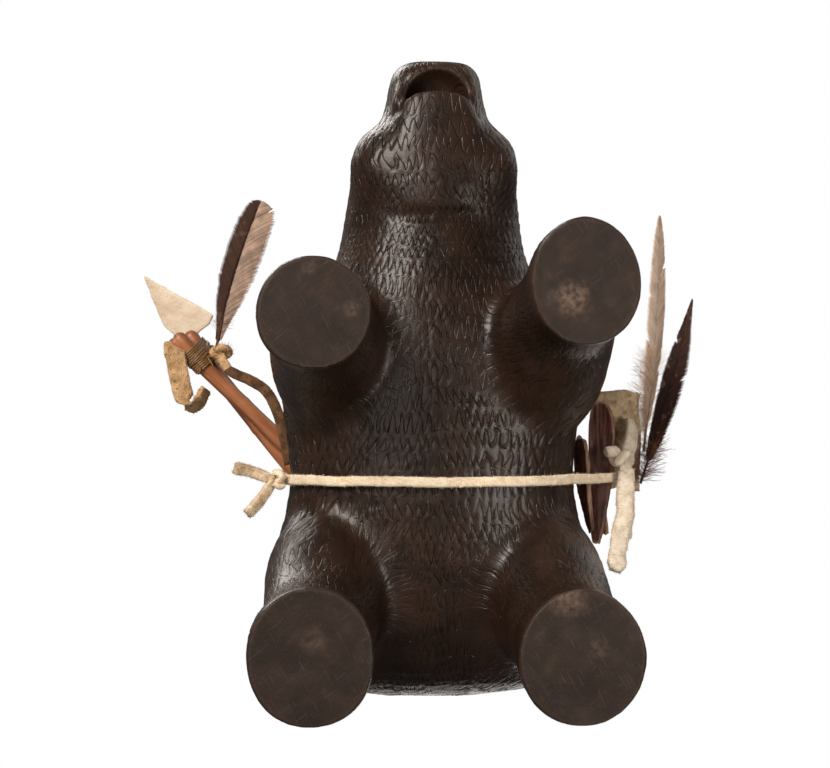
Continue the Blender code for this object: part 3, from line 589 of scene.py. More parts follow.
class Recipe:
    """A Principled material, with short ways to add the nodes that vary it."""

    def __init__(self, name: str, roughness: float, **sockets: float) -> None:
        """Makes the material.

        Args:
            name: The material's name.
            roughness: Its roughness.
            **sockets: Other constant sockets of its shader, by name with _ for a space.
        """
        self.material = bpy.data.materials.new(name)
        self.material.use_nodes = True
        self.tree = self.material.node_tree
        self.shader = self.tree.nodes["Principled BSDF"]
        self.shader.inputs["Roughness"].default_value = roughness
        for socket, value in sockets.items():
            self.shader.inputs[socket.replace("_", " ")].default_value = value
        self.here = self.node("ShaderNodeTexCoord").outputs["Object"]

    def node(self, kind: str, **settings: object) -> bpy.types.Node:
        """A new node.

        Args:
            kind: Blender's name for it.
            **settings: Its settings, by name.

        Returns:
            The node.
        """
        made = self.tree.nodes.new(kind)
        for name, value in settings.items():
            setattr(made, name, value)
        return made

    def feed(self, socket: bpy.types.NodeSocket, value: object) -> None:
        """Sets a socket, or links it to another.

        Args:
            socket: The socket to set.
            value: A number, a colour, or the socket that it takes its value from.
        """
        if isinstance(value, bpy.types.NodeSocket):
            self.tree.links.new(value, socket)
        else:
            socket.default_value = (*value, 1.0) if isinstance(value, tuple) else value

    def maths(self, how: str, a: object, b: object = 0.0) -> bpy.types.NodeSocket:
        """One sum.

        Args:
            how: Blender's name for it.
            a: The first number or socket.
            b: The second.

        Returns:
            The result's socket.
        """
        made = self.node("ShaderNodeMath", operation=how)
        self.feed(made.inputs[0], a)
        self.feed(made.inputs[1], b)
        return made.outputs[0]

    def times(self, a: object, b: object) -> bpy.types.NodeSocket:
        """One number times another."""
        return self.maths("MULTIPLY", a, b)

    def mark(self, name: str) -> bpy.types.NodeSocket:
        """The value that the mesh carries under a name."""
        return self.node("ShaderNodeAttribute", attribute_name=name).outputs["Fac"]

    def speckle(
        self, size: float, detail: float = 2.0, stretch: Point = (1, 1, 1), turn: float = 0.0
    ) -> bpy.types.NodeSocket:
        """Noise in the piece's own space.

        Args:
            size: The width of one lump, in millimetres.
            detail: How many finer layers it has.
            stretch: How much longer the lumps are each way.
            turn: How far the stretched lumps are turned about Z, in degrees.

        Returns:
            A value from 0 to 1, mostly near a half.
        """
        spread = self.node("ShaderNodeMapping", vector_type="TEXTURE")
        spread.inputs["Rotation"].default_value = (0.0, 0.0, math.radians(turn))
        spread.inputs["Scale"].default_value = stretch
        self.feed(spread.inputs["Vector"], self.here)
        made = self.node("ShaderNodeTexNoise")
        self.feed(made.inputs["Vector"], spread.outputs[0])
        made.inputs["Scale"].default_value = 1 / (size * MM)
        made.inputs["Detail"].default_value = detail
        return made.outputs["Fac"]

    def streaks(self, length: float, width: float) -> bpy.types.NodeSocket:
        """Noise drawn out along a swept piece.

        Args:
            length: The length of one streak, in millimetres.
            width: Its width.

        Returns:
            A value from 0 to 1.
        """
        spot = self.node("ShaderNodeCombineXYZ")
        self.feed(spot.inputs[0], self.maths("DIVIDE", self.mark("along"), length))
        self.feed(spot.inputs[1], self.maths("DIVIDE", self.mark("around"), width))
        made = self.node("ShaderNodeTexNoise")
        made.inputs["Scale"].default_value = 1.0
        self.feed(made.inputs["Vector"], spot.outputs[0])
        return made.outputs["Fac"]

    def between(self, low: float, high: float, value: bpy.types.NodeSocket) -> bpy.types.NodeSocket:
        """A smooth step of a value.

        Args:
            low: The value that gives 0.
            high: The value that gives 1.
            value: The value's socket.

        Returns:
            The step's socket.
        """
        made = self.node("ShaderNodeMapRange", interpolation_type="SMOOTHSTEP")
        self.feed(made.inputs["Value"], value)
        made.inputs["From Min"].default_value = low
        made.inputs["From Max"].default_value = high
        return made.outputs["Result"]

    def blend(self, share: object, a: object, b: object) -> bpy.types.NodeSocket:
        """A colour from a to b.

        Args:
            share: How much of b, from 0 to 1.
            a: The first colour or socket.
            b: The second.

        Returns:
            The colour's socket.
        """
        made = self.node("ShaderNodeMix", data_type="RGBA")
        self.feed(made.inputs[0], share)
        self.feed(made.inputs[6], a)
        self.feed(made.inputs[7], b)
        return made.outputs[2]

    def bump(self, height: bpy.types.NodeSocket, depth: float) -> None:
        """Adds fine relief.

        Args:
            height: The height, from 0 to 1.
            depth: What a height of 1 is, in millimetres.
        """
        made = self.node("ShaderNodeBump")
        made.inputs["Distance"].default_value = depth * MM
        self.feed(made.inputs["Height"], height)
        normal = self.shader.inputs["Normal"]
        if normal.is_linked:
            self.feed(made.inputs["Normal"], normal.links[0].from_socket)
        self.feed(normal, made.outputs["Normal"])

    def mixed(
        self, share: object, a: bpy.types.NodeSocket, b: bpy.types.NodeSocket
    ) -> bpy.types.NodeSocket:
        """Two shaders mixed.

        Args:
            share: How much of b, from 0 to 1.
            a: The first shader's socket.
            b: The second's.

        Returns:
            The mixed shader's socket.
        """
        made = self.node("ShaderNodeMixShader")
        for socket, value in zip(made.inputs, (share, a, b)):
            self.feed(socket, value)
        return made.outputs[0]

    def surface(self, shader: bpy.types.NodeSocket) -> None:
        """Sets the shader that the surface shows."""
        self.feed(self.tree.nodes["Material Output"].inputs["Surface"], shader)

    def colour(self, value: object) -> None:
        """Sets the base colour."""
        self.feed(self.shader.inputs["Base Color"], value)

    def roughness(self, value: bpy.types.NodeSocket) -> None:
        """Varies the roughness."""
        self.feed(self.shader.inputs["Roughness"], value)


@dataclass(frozen=True)
class Finish:
    """What a piece is made of: its name, the record's slot and its main colours."""

    name: str
    slot: str
    light: Colour
    dark: Colour

    def material(self) -> bpy.types.Material:
        """The finish's material, made once."""
        return bpy.data.materials.get(self.name) or self.made()

    def made(self) -> bpy.types.Material:
        """Makes the material."""
        raise NotImplementedError


@dataclass(frozen=True)
class WaxedCarving(Finish):
    """Dark carved body, waxed, with fur lines cut in it, painted shade darkening the cuts, and soles scuffed
    by shelves.
    """

    scuff: Colour = (0.17, 0.115, 0.085)
    worn_edge: Colour = (0.070, 0.042, 0.029)
    # The cut colour is painted shade in the fur's grooves; the soles are also darkened towards it for their
    # own darker tone.
    cut: Colour = (0.010, 0.006, 0.004)
    groove_width: float = 0.34

    def zigzag(self, made: Recipe, across: str, rows: str) -> bpy.types.NodeSocket:
        """The cut lines of one coat of fur.

        Args:
            made: The material being made.
            across: The mark that counts strokes across.
            rows: The mark that counts rows.

        Returns:
            1 in a cut and 0 off it.
        """
        share = made.maths("FRACT", made.mark(rows))
        spot = made.maths("FRACT", made.mark(across))
        up = made.maths("DIVIDE", spot, Fur.LEAN)
        down = made.maths("DIVIDE", made.maths("SUBTRACT", 1.0, spot), 1 - Fur.LEAN)
        wave = made.maths("MINIMUM", up, down)
        mean = made.times(made.maths("ADD", wave, made.between(0.0, 1.0, wave)), 0.5)
        line = made.maths("ADD", made.times(mean, made.mark("reach")), Fur.FOOT)
        off = made.maths("ABSOLUTE", made.maths("SUBTRACT", share, line))
        return made.between(self.groove_width * Fur.SLOPE, 0.0, off)

    def made(self) -> bpy.types.Material:
        """Makes the material.

        Returns:
            The material.
        """
        made = Recipe(self.name, 0.38, Coat_Weight=0.05, Coat_Roughness=0.25, Specular_IOR_Level=0.31)
        blotch = made.speckle(9.0, 4.0)
        fine = made.speckle(0.7, 3.0)
        trunk = made.times(self.zigzag(made, "trunk_u", "trunk_v"), made.mark("trunk_fur"))
        leg = made.times(self.zigzag(made, "leg_u", "leg_v"), made.mark("leg_fur"))
        lines = made.maths("MAXIMUM", trunk, leg)
        base = made.blend(made.between(0.35, 0.65, blotch), self.dark, self.light)
        base = made.blend(made.times(made.mark("edge"), 0.35), base, self.worn_edge)
        # Painted shade: the fur's cut lines are darkened towards the cut colour.
        base = made.blend(made.times(lines, 0.3), base, self.cut)
        scratch = made.between(0.6, 0.72, made.speckle(0.5, 2.0, (14.0, 1.0, 14.0), 62.0))
        crossed = made.between(0.62, 0.74, made.speckle(0.45, 2.0, (16.0, 1.0, 16.0), -38.0))
        sole = made.mark("sole")
        marks = made.times(made.maths("MAXIMUM", scratch, crossed), sole)
        dusty = made.times(made.between(0.45, 0.75, made.speckle(5.0, 5.0)), sole)
        base = made.blend(made.times(sole, 0.35), base, self.cut)
        base = made.blend(made.times(dusty, 0.07), base, self.scuff)
        base = made.blend(made.times(marks, 0.13), base, self.scuff)
        worn = made.times(made.mark("scuff"), made.between(0.25, 0.75, made.speckle(1.6, 5.0)))
        base = made.blend(worn, base, self.scuff)
        made.colour(base)
        rough = made.maths("ADD", made.times(blotch, 0.2), 0.27)
        rough = made.maths("ADD", rough, made.times(worn, 0.35))
        made.roughness(made.maths("ADD", rough, made.times(sole, 0.24)))
        made.bump(fine, 0.05)
        made.bump(made.speckle(2.6, 2.0), 0.12)
        made.bump(made.maths("SUBTRACT", 1.0, marks), 0.03)
        made.bump(made.maths("SUBTRACT", 1.0, lines), 0.34)
        return made.material


@dataclass(frozen=True)
class Suede(Finish):
    """Napped leather: soft, with a sheen and darker flecks."""

    flecks: float
    nap: float

    def made(self) -> bpy.types.Material:
        """Makes the material.

        Returns:
            The material.
        """
        made = Recipe(self.name, 0.92, Sheen_Weight=0.08, Sheen_Roughness=0.6, Specular_IOR_Level=0.2)
        cloud = made.between(0.3, 0.7, made.speckle(2.4, 3.0))
        grain = made.speckle(0.45, 4.0)
        base = made.blend(cloud, self.dark, self.light)
        fleck = made.between(0.56, 0.7, made.speckle(0.8, 4.0))
        shade = tuple(0.35 * c for c in self.dark)
        base = made.blend(made.times(fleck, self.flecks), base, shade)
        base = made.blend(made.times(made.between(0.45, 0.7, grain), 0.35), base, self.light)
        made.colour(base)
        made.bump(grain, 0.25 * self.nap)
        made.bump(made.speckle(0.22, 2.0), 0.12 * self.nap)
        return made.material


@dataclass(frozen=True)
class Cane(Finish):
    """A peeled red shoot: satin, streaked along, with painted shade darkening one side."""

    # The shaded colour is painted shade on one side of the cane, and also the colour of its fine dark
    # streaks.
    shaded: Colour = (0.085, 0.026, 0.012)
    cut_end: Colour = (0.075, 0.03, 0.016)

    def made(self) -> bpy.types.Material:
        """Makes the material.

        Returns:
            The material.
        """
        made = Recipe(self.name, 0.42, Coat_Weight=0.1, Coat_Roughness=0.3)
        streak = made.streaks(18.0, 1.5)
        fine = made.streaks(5.0, 0.2)
        base = made.blend(made.between(0.3, 0.72, streak), self.dark, self.light)
        # Painted shade: the side that the shade mark picks out is darkened.
        base = made.blend(made.times(made.mark("shade"), 0.7), base, self.shaded)
        base = made.blend(made.times(made.between(0.55, 0.75, fine), 0.18), base, self.shaded)
        base = made.blend(made.mark("end"), base, self.cut_end)
        made.colour(base)
        made.roughness(made.maths("ADD", made.times(streak, 0.25), 0.3))
        made.bump(fine, 0.1)
        made.bump(streak, 0.12)
        return made.material


@dataclass(frozen=True)
class RawHide(Finish):
    """Thin scraped hide, faintly mottled and paler at its edges."""

    dots: Colour = (0.42, 0.29, 0.17)
    rim: Colour = (0.86, 0.78, 0.64)

    def made(self) -> bpy.types.Material:
        """Makes the material.

        Returns:
            The material.
        """
        made = Recipe(self.name, 0.62, Specular_IOR_Level=0.35)
        cloud = made.between(0.32, 0.68, made.speckle(4.5, 4.0))
        base = made.blend(cloud, self.dark, self.light)
        dots = made.between(0.6, 0.72, made.speckle(0.7, 3.0))
        base = made.blend(made.times(dots, 0.35), base, self.dots)
        base = made.blend(made.times(made.mark("edge"), 0.5), base, self.rim)
        made.colour(base)
        made.bump(made.speckle(1.1, 4.0), 0.16)
        return made.material


@dataclass(frozen=True)
class Sinew(Finish):
    """Waxed thread, split from sinew."""

    def made(self) -> bpy.types.Material:
        """Makes the material.

        Returns:
            The material.
        """
        made = Recipe(self.name, 0.4, Specular_IOR_Level=0.5)
        streak = made.streaks(2.5, 0.12)
        made.colour(made.blend(made.between(0.3, 0.7, streak), self.dark, self.light))
        made.bump(streak, 0.1)
        return made.material


@dataclass(frozen=True)
class Bark(Finish):
    """Thin dry bark, ribbed along, with pale broken edges."""

    rim: Colour = (0.42, 0.27, 0.17)
    patch: Colour = (0.22, 0.12, 0.09)

    def made(self) -> bpy.types.Material:
        """Makes the material.

        Returns:
            The material.
        """
        made = Recipe(self.name, 0.55, Specular_IOR_Level=0.4)
        rib = made.speckle(0.9, 4.0, (1.0, 9.0, 1.0))
        base = made.blend(made.between(0.35, 0.65, rib), self.dark, self.light)
        patch = made.between(0.55, 0.7, made.speckle(4.0, 3.0))
        base = made.blend(made.times(patch, 0.5), base, self.patch)
        made.colour(made.blend(made.times(made.mark("edge"), 0.8), base, self.rim))
        made.bump(rib, 0.25)
        return made.material


@dataclass(frozen=True)
class Vane(Finish):
    """A feather: its two vanes, its quill and its down, each in its own colour."""

    other: Colour
    quill: Colour
    down: Colour
    bars: Colour
    bar_share: float
    see_through: float = 0.35

    def made(self) -> bpy.types.Material:
        """Makes the material.

        Returns:
            The material.
        """
        made = Recipe(self.name, 0.55, Sheen_Weight=0.2, Sheen_Roughness=0.4, Specular_IOR_Level=0.4)
        cloud = made.between(0.35, 0.65, made.speckle(3.2, 3.0))
        base = made.blend(made.mark("second_vane"), self.light, self.other)
        base = made.blend(made.times(cloud, 0.3), base, self.dark)
        spots = made.times(made.between(0.56, 0.66, made.speckle(2.6, 2.0)), self.bar_share)
        base = made.blend(spots, base, self.bars)
        deep = tuple(0.45 * c for c in self.dark)
        base = made.blend(made.times(made.mark("barb"), 0.42), base, deep)
        base = made.blend(made.mark("quill"), base, self.quill)
        base = made.blend(made.mark("down"), base, self.down)
        made.colour(base)
        made.bump(made.speckle(0.25, 2.0), 0.05)
        through = made.node("ShaderNodeBsdfTranslucent")
        made.feed(through.inputs["Color"], base)
        made.surface(made.mixed(self.see_through, made.shader.outputs[0], through.outputs[0]))
        return made.material


@dataclass(frozen=True)
class EyeGlass(Finish):
    """A polished dark eye."""

    def made(self) -> bpy.types.Material:
        """Makes the material.

        Returns:
            The material.
        """
        made = Recipe(self.name, 0.06, Coat_Weight=1.0, Coat_Roughness=0.03)
        made.colour(made.blend(made.speckle(1.2, 1.0), self.dark, self.light))
        return made.material


CARVING = WaxedCarving("waxed_carving", "dark_resin", (0.029, 0.0140, 0.0084), (0.0170, 0.0083, 0.0050))
EYE = EyeGlass("polished_eye", "eye_glass", (0.020, 0.012, 0.008), (0.006, 0.004, 0.003))
CREAM = Suede("napped_cream", "cream_suede", (0.92, 0.79, 0.60), (0.78, 0.62, 0.43), 0.18, 0.9)
LACE_END = Suede("napped_lace_end", "cream_suede", (0.84, 0.66, 0.46), (0.50, 0.34, 0.20), 0.4, 1.0)
PALE = Suede("napped_pale", "cream_suede", (0.86, 0.76, 0.62), (0.64, 0.51, 0.38), 0.32, 1.2)
TAN = Suede("napped_tan", "tan_suede", (0.76, 0.49, 0.26), (0.46, 0.27, 0.12), 0.85, 1.4)
BROWN = Suede("napped_brown", "brown_suede", (0.17, 0.085, 0.036), (0.06, 0.027, 0.012), 0.7, 1.0)
FOLDED = Suede("folded_hide", "grey_hide", (0.58, 0.43, 0.27), (0.27, 0.18, 0.10), 0.5, 1.3)
RED_CANE = Cane("peeled_cane", "red_cane", (0.52, 0.205, 0.088), (0.27, 0.088, 0.036))
HIDE = RawHide("scraped_hide", "raw_hide", (0.93, 0.79, 0.61), (0.78, 0.61, 0.44))
SINEW = Sinew("split_sinew", "sinew", (0.36, 0.20, 0.075), (0.13, 0.06, 0.022))
BARK = Bark("ribbed_bark", "red_bark", (0.15, 0.050, 0.032), (0.055, 0.018, 0.013))
LANCE_VANE = Vane(
    "brown_vane", "brown_feather", (0.095, 0.038, 0.020), (0.05, 0.020, 0.011),
    other=(0.88, 0.64, 0.49), quill=(0.10, 0.045, 0.022), down=(0.50, 0.34, 0.20),
    bars=(0.40, 0.25, 0.18), bar_share=0.2,
)
PALE_VANE = Vane(
    "pale_vane", "pale_feather", (0.95, 0.78, 0.64), (0.70, 0.52, 0.40),
    other=(0.92, 0.72, 0.57), quill=(0.34, 0.16, 0.08), down=(0.90, 0.74, 0.58),
    bars=(0.50, 0.33, 0.24), bar_share=0.4,
)
DARK_VANE = Vane(
    "dark_vane", "dark_feather", (0.050, 0.0165, 0.0105), (0.018, 0.007, 0.005),
    other=(0.075, 0.026, 0.016), quill=(0.12, 0.05, 0.03), down=(0.34, 0.13, 0.08),
    bars=(0.42, 0.25, 0.17), bar_share=0.55,
)


# ---------------------------------------------------------------- the bear


@dataclass
class Fur:
    """Rows of zigzag strokes, on the trunk by girth and length, on a leg by girth and height."""

    # The share of a stroke's width at which it turns, where its foot is in its row, and how much
    # wider a cut is along a row than it is across the stroke, which runs at a slope.
    LEAN = 0.42
    FOOT = 0.06
    SLOPE = 0.5

    # Along the trunk: strokes round it at each Y, and the height of a row at each Y.
    strokes_round_trunk: tuple[tuple[float, float], ...] = (
        (-88, 30), (-60, 48), (-34, 68), (-10, 82), (90, 82),
    )
    row_heights: tuple[tuple[float, float], ...] = (
        (-90, 5.0), (-54, 5.0), (-46, 3.0), (-34, 3.0), (-26, 5.6), (90, 6.2),
    )
    strokes_round_leg: float = 40.0
    leg_row: float = 5.2
    axis_height: float = 60.0
    rump_start: float = 52.0
    rump_radius: float = 35.0
    warp: float = 0.5
    jitter: float = 1.15
    cut: float = 0.32
    tuft: float = 0.20

    def uneven(self, p: np.ndarray, u: np.ndarray, v: np.ndarray) -> np.ndarray:
        """Shifts each row's strokes by themselves, as a hand cuts them.

        Args:
            p: The points.
            u: Strokes across, before.
            v: Rows along.

        Returns:
            Strokes across, after.
        """
        row = np.floor(v)
        apart = p + np.stack([row * 37.1, row * 11.3, row * 23.7], axis=1)
        return u + row * 0.31 + self.jitter * layered(apart, 9.0, 21, 2)

    def trunk(self, p: np.ndarray) -> tuple[np.ndarray, np.ndarray]:
        """Where points of the trunk are in the fur.

        Args:
            p: The points.

        Returns:
            Strokes across and rows along, one of each a point.
        """
        angle = np.abs(np.arctan2(p[:, 0] - 2.0, self.axis_height - p[:, 2]))
        strokes = np.interp(p[:, 1], *zip(*self.strokes_round_trunk))
        past = np.clip((p[:, 1] - self.rump_start) / self.rump_radius, 0.0, 0.98)
        along = np.minimum(p[:, 1], self.rump_start) + self.rump_radius * np.arcsin(past)
        table = np.linspace(-95, 125, 441)
        rows = np.concatenate([[0], np.cumsum(0.5 / np.interp(table[1:], *zip(*self.row_heights)))])
        v = 60.0 - np.interp(along, table, rows) + self.warp * layered(p, 13.0, 5, 2)
        return self.uneven(p, angle / (2 * np.pi) * strokes, v), v

    def leg(self, p: np.ndarray, centre: np.ndarray) -> tuple[np.ndarray, np.ndarray]:
        """Where points of a leg are in the fur.

        Args:
            p: The points.
            centre: The middle of the leg beside each point.

        Returns:
            Strokes across and rows along, one of each a point.
        """
        angle = np.arctan2(p[:, 0] - centre[:, 0], p[:, 1] - centre[:, 1])
        v = 5.0 + p[:, 2] / self.leg_row + self.warp * layered(p, 10.0, 15, 2)
        return self.uneven(p, angle / (2 * np.pi) * self.strokes_round_leg, v), v

    def height(self, u: np.ndarray, v: np.ndarray, reach: np.ndarray) -> np.ndarray:
        """The relief of the fur.

        Args:
            u: Strokes across.
            v: Rows along.
            reach: How much of a row each stroke fills.

        Returns:
            The height in millimetres: below 0 in a cut, above 0 on the tuft beside it.
        """
        spot = u - np.floor(u)
        wave = np.minimum(spot / self.LEAN, (1 - spot) / (1 - self.LEAN))
        line = 0.5 * (wave + ease(0, 1, wave)) * reach + self.FOOT
        off = (v - np.floor(v) - line) / self.SLOPE
        groove = 1 - ease(0.0, 0.7, np.abs(off))
        return self.tuft * ease(0.0, -0.5, off) * ease(-1.5, -0.6, off) - self.cut * groove


@dataclass
class Leg:
    """One leg's axis, from the middle of its sole to the hip."""

    sole: Point
    hip: Point

    def centre(self, z: np.ndarray) -> np.ndarray:
        """The middle of the leg at each height."""
        share = np.clip(z / self.hip[2], 0, 1)[:, None]
        return np.array(self.sole) * (1 - share) + np.array(self.hip) * share


@dataclass
class Bear:
    """The carved body and its two eyes."""

    voxel: float = 0.72
    smoothing: int = 34
    fur: Fur = field(default_factory=Fur)
    hip_height: float = 62.0
    hips: tuple[tuple[float, float], ...] = ((-19.5, -2.5), (25.5, -2.5), (-20.0, 51.5), (26.0, 51.5))
    # Middle, radius and strength of each worn patch on the soles.
    scuffs: tuple[tuple[float, float, float, float], ...] = (
        (33.5, -19.5, 6.0, 0.95), (-20.5, -17.0, 3.2, 0.5), (32.5, 54.0, 6.4, 0.75),
        (-31.0, -27.0, 3.0, 0.35), (40.0, 66.0, 3.5, 0.35), (-30.0, 64.0, 4.0, 0.3),
    )
    head_middle: float = 3.6
    nose: Point = (3.8, -85.0, 65.5)
    mouth: Point = (3.8, -76.5, 49.0)
    eye_nodes: tuple[str, str] = ("eye_left", "eye_right")

    def legs(self) -> list[Leg]:
        """The four legs.

        Returns:
            A leg for each hip, its sole where the record's nearest mount is.
        """
        soles = [Vector(m["pos_m"]) / MM for m in frame["record"]["mounts"]]
        found = []
        for x, y in self.hips:
            sole = min(soles, key=lambda s: (s.x - x) ** 2 + (s.y - y) ** 2)
            found.append(Leg(tuple(sole), (x, y, self.hip_height)))
        return found

    def push(self, skin: Shape, centre: Point, radii: Point, by: Point) -> None:
        """Moves the skin near a point.

        Args:
            skin: The skin, whose points are moved.
            centre: The middle of the change.
            radii: Its reach each way.
            by: How far its middle moves.
        """
        off = (skin.points - np.array(centre)) / np.array(radii)
        share = np.exp(-2.2 * np.sum(off * off, axis=1))
        skin.points = skin.points + share[:, None] * np.array(by)

    def model_head(self, skin: Shape) -> None:
        """Presses in the nostrils, ears, eyes' hollows, cheeks, lips and jaw.

        Args:
            skin: The skin, whose points are moved.
        """
        x, y, z = self.nose
        middle = self.head_middle
        for side in (-1, 1):
            self.push(skin, (x + side * 3.4, y - 0.5, z - 0.6), (1.5, 2.4, 1.3), (-side * 0.3, 2.6, 0.0))
            self.push(skin, (x + side * 5.2, y + 2.6, z - 1.2), (1.3, 3.0, 1.6), (-side * 0.9, 0.5, 0.0))
            self.push(skin, (middle + side * 16.5, -45.4, 84.0), (3.4, 2.6, 4.0), (0.0, 1.8, -0.2))
            self.push(skin, (middle + side * 11.0, -62.5, 76.6), (3.6, 3.2, 1.6), (side * 0.5, -0.8, 0.6))
            self.push(skin, (middle + side * 11.6, -66.0, 69.6), (3.4, 3.2, 1.5), (side * 0.4, -0.6, -0.1))
            self.push(skin, (x + side * 8.0, -72.5, 57.0), (5.0, 9.0, 2.0), (side * 0.9, 0.0, -0.5))
        self.push(skin, (x, y + 0.5, z - 4.4), (0.8, 3.0, 2.6), (0.0, 1.2, 0.2))
        self.push(skin, (x, y + 3.0, z + 3.6), (5.0, 2.0, 2.0), (0.0, 0.5, -0.6))
        mx, my, mz = self.mouth
        self.push(skin, (mx - 10.5, my + 1.5, mz + 1.4), (2.2, 6.0, 2.2), (-1.3, 0.3, -1.5))
        self.push(skin, (mx - 9.6, my + 7.0, mz + 0.2), (0.9, 2.4, 2.4), (1.6, 0.0, 1.4))
        self.push(skin, (mx + 9.6, my + 1.0, mz + 1.6), (1.8, 6.4, 2.0), (0.6, 0.0, -0.9))
        self.push(skin, (mx, -70.5, 45.5), (13.0, 5.5, 3.2), (0.0, -5.6, 0.4))
        self.push(skin, (mx, -43.0, 41.5), (18.0, 3.0, 5.0), (0.0, 0.2, 1.0))

    def worn(self, p: np.ndarray) -> np.ndarray:
        """How worn the soles are.

        Args:
            p: The points.

        Returns:
            Values from 0 to 1, one a point.
        """
        worn = np.zeros(len(p))
        for x, y, radius, strength in self.scuffs:
            off = np.linalg.norm(p[:, :2] - (x, y), axis=1) * (1 + 0.35 * layered(p, 3.0, 61, 2))
            worn = np.maximum(worn, strength * ease(radius, 0.2 * radius, off) * ease(2.5, 0.8, p[:, 2]))
        return worn

    def near(self, p: np.ndarray, centre: Point, radii: Point) -> np.ndarray:
        """How near points are to a point, from 1 there towards 0."""
        return np.exp(-2 * np.sum(((p - np.array(centre)) / radii) ** 2, axis=1))

    def skin(self) -> Shape:
        """The whole carved skin.

        Returns:
            The shape, with the marks that its finish reads.
        """
        skin = refined("bear_body", self.voxel, 0)
        flat = skin.points[:, 2] < 0.6
        ground = ease(0.2, 4.0, skin.points[:, 2])
        softened(skin, self.smoothing, 0.08 + 0.92 * ground)
        skin.points[flat, 2] *= 0.25
        self.model_head(skin)
        p = skin.points
        normals = normals_of(skin)
        legs = self.legs()
        spans = np.stack([np.linalg.norm((p - leg.centre(p[:, 2]))[:, :2], axis=1) for leg in legs])
        nearest = np.argmin(spans, axis=0)
        centre = np.stack([leg.centre(p[:, 2]) for leg in legs])[nearest, np.arange(len(p))]
        on_leg = ease(44, 30, p[:, 2]) * ease(25, 19, spans.min(axis=0))
        sole = ease(1.6, 0.5, p[:, 2]) * ease(-0.4, -0.8, normals[:, 2])
        bare = self.near(p, self.nose, (9.0, 6.5, 8.0))
        inside = self.near(p, self.mouth, (9.0, 7.0, 6.0))
        plain = np.clip(1 - 1.4 * bare - 1.4 * inside, 0, 1) * ease(1.5, 5.0, p[:, 2])
        patchy = 0.88 + 0.5 * layered(p, 22.0, 31, 2)
        broken = ease(-0.5, 0.0, noise(p, 3.0, 41))
        joining = np.exp(-(((spans.min(axis=0) - 20.0) / 4.5) ** 2)) * ease(54, 42, p[:, 2])
        fur = np.clip(plain * patchy, 0, 1) * (0.4 + 0.6 * broken) * (1 - 0.35 * joining)
        trunk_u, trunk_v = self.fur.trunk(p)
        leg_u, leg_v = self.fur.leg(p, centre)
        trunk_fur, leg_fur = fur * (1 - on_leg), fur * on_leg * 0.45
        reach = 0.78 + 0.30 * noise(p, 3.6, 43)
        lift = self.fur.height(trunk_u, trunk_v, reach) * trunk_fur * (1 - 0.35 * ease(-40, -60, p[:, 1]))
        lift += self.fur.height(leg_u, leg_v, reach) * leg_fur
        lift += 0.16 * layered(p, 7.0, 51, 2) * ease(1.0, 4.0, p[:, 2])
        rim = np.exp(-(((p[:, 2] - 1.5) / 0.8) ** 2)) * ease(0.9, 0.4, np.abs(normals[:, 2]))
        lift += 0.22 * rim + 0.4 * noise(p * (1, 1, 0.3), 11.0, 63) * ease(9.0, 1.0, p[:, 2])
        edge = edge_mark(skin, 0.16)
        skin.points = p + normals * lift[:, None]
        skin.points[:, 2] = np.maximum(skin.points[:, 2], 0.0)
        return skin.marked(
            trunk_u=trunk_u, trunk_v=trunk_v, leg_u=leg_u, leg_v=leg_v, trunk_fur=trunk_fur,
            leg_fur=leg_fur, reach=reach, sole=sole, scuff=self.worn(p), edge=np.maximum(edge, 0.8 * rim),
        )

    def build(self) -> None:
        """Puts the carved body and the eyes in the model."""
        place(self.skin(), "carved_bear", CARVING, Body.BEAR, "bear_body")
        for node in self.eye_nodes:
            eye = frame["nodes"][node]
            eye.material_slots[0].material = EYE.material()
            log.info("%s: dressed in place", node)


# ---------------------------------------------------------------- suede and thread


def knot_path(centre: np.ndarray, radii: Point, turn: Matrix, count: int = 46) -> np.ndarray:
    """The middle line of an overhand knot.

    Args:
        centre: The knot's middle.
        radii: Its reach along each of its own axes.
        turn: The rotation that takes its own axes to the model's.
        count: Points on the line.

    Returns:
        The points, as rows.
    """
    t = np.linspace(0.10, 0.90, count) * 2 * np.pi
    rows = np.stack([np.sin(t) + 2 * np.sin(2 * t), np.cos(t) - 2 * np.cos(2 * t), -np.sin(3 * t)], axis=1)
    rows *= np.array(radii) / (3.0, 3.0, 1.0)
    return np.asarray(centre) + rows @ np.array(turn.to_3x3()).T


def tied(
    centre: np.ndarray, radii: Point, half_width: float, half_depth: float, turn: Matrix, seed: int
) -> Shape:
    """A strip tied in an overhand knot.

    Args:
        centre: The knot's middle.
        radii: How far the strip's middle reaches along the knot's own axes.
        half_width: Half the strip's width.
        half_depth: Half its thickness.
        turn: The knot's rotation.
        seed: Which unevenness.

    Returns:
        The knot, with its fibres.
    """
    path = knot_path(centre, radii, turn)
    shape = swept(path, half_width, half_depth, rolled(path, np.array([0.3, 0.2, 1.0])), 2.6, 14)
    napped(shape, 0.16, seed)
    return together([shape, fuzz(shape, 260, 0.55, seed)])


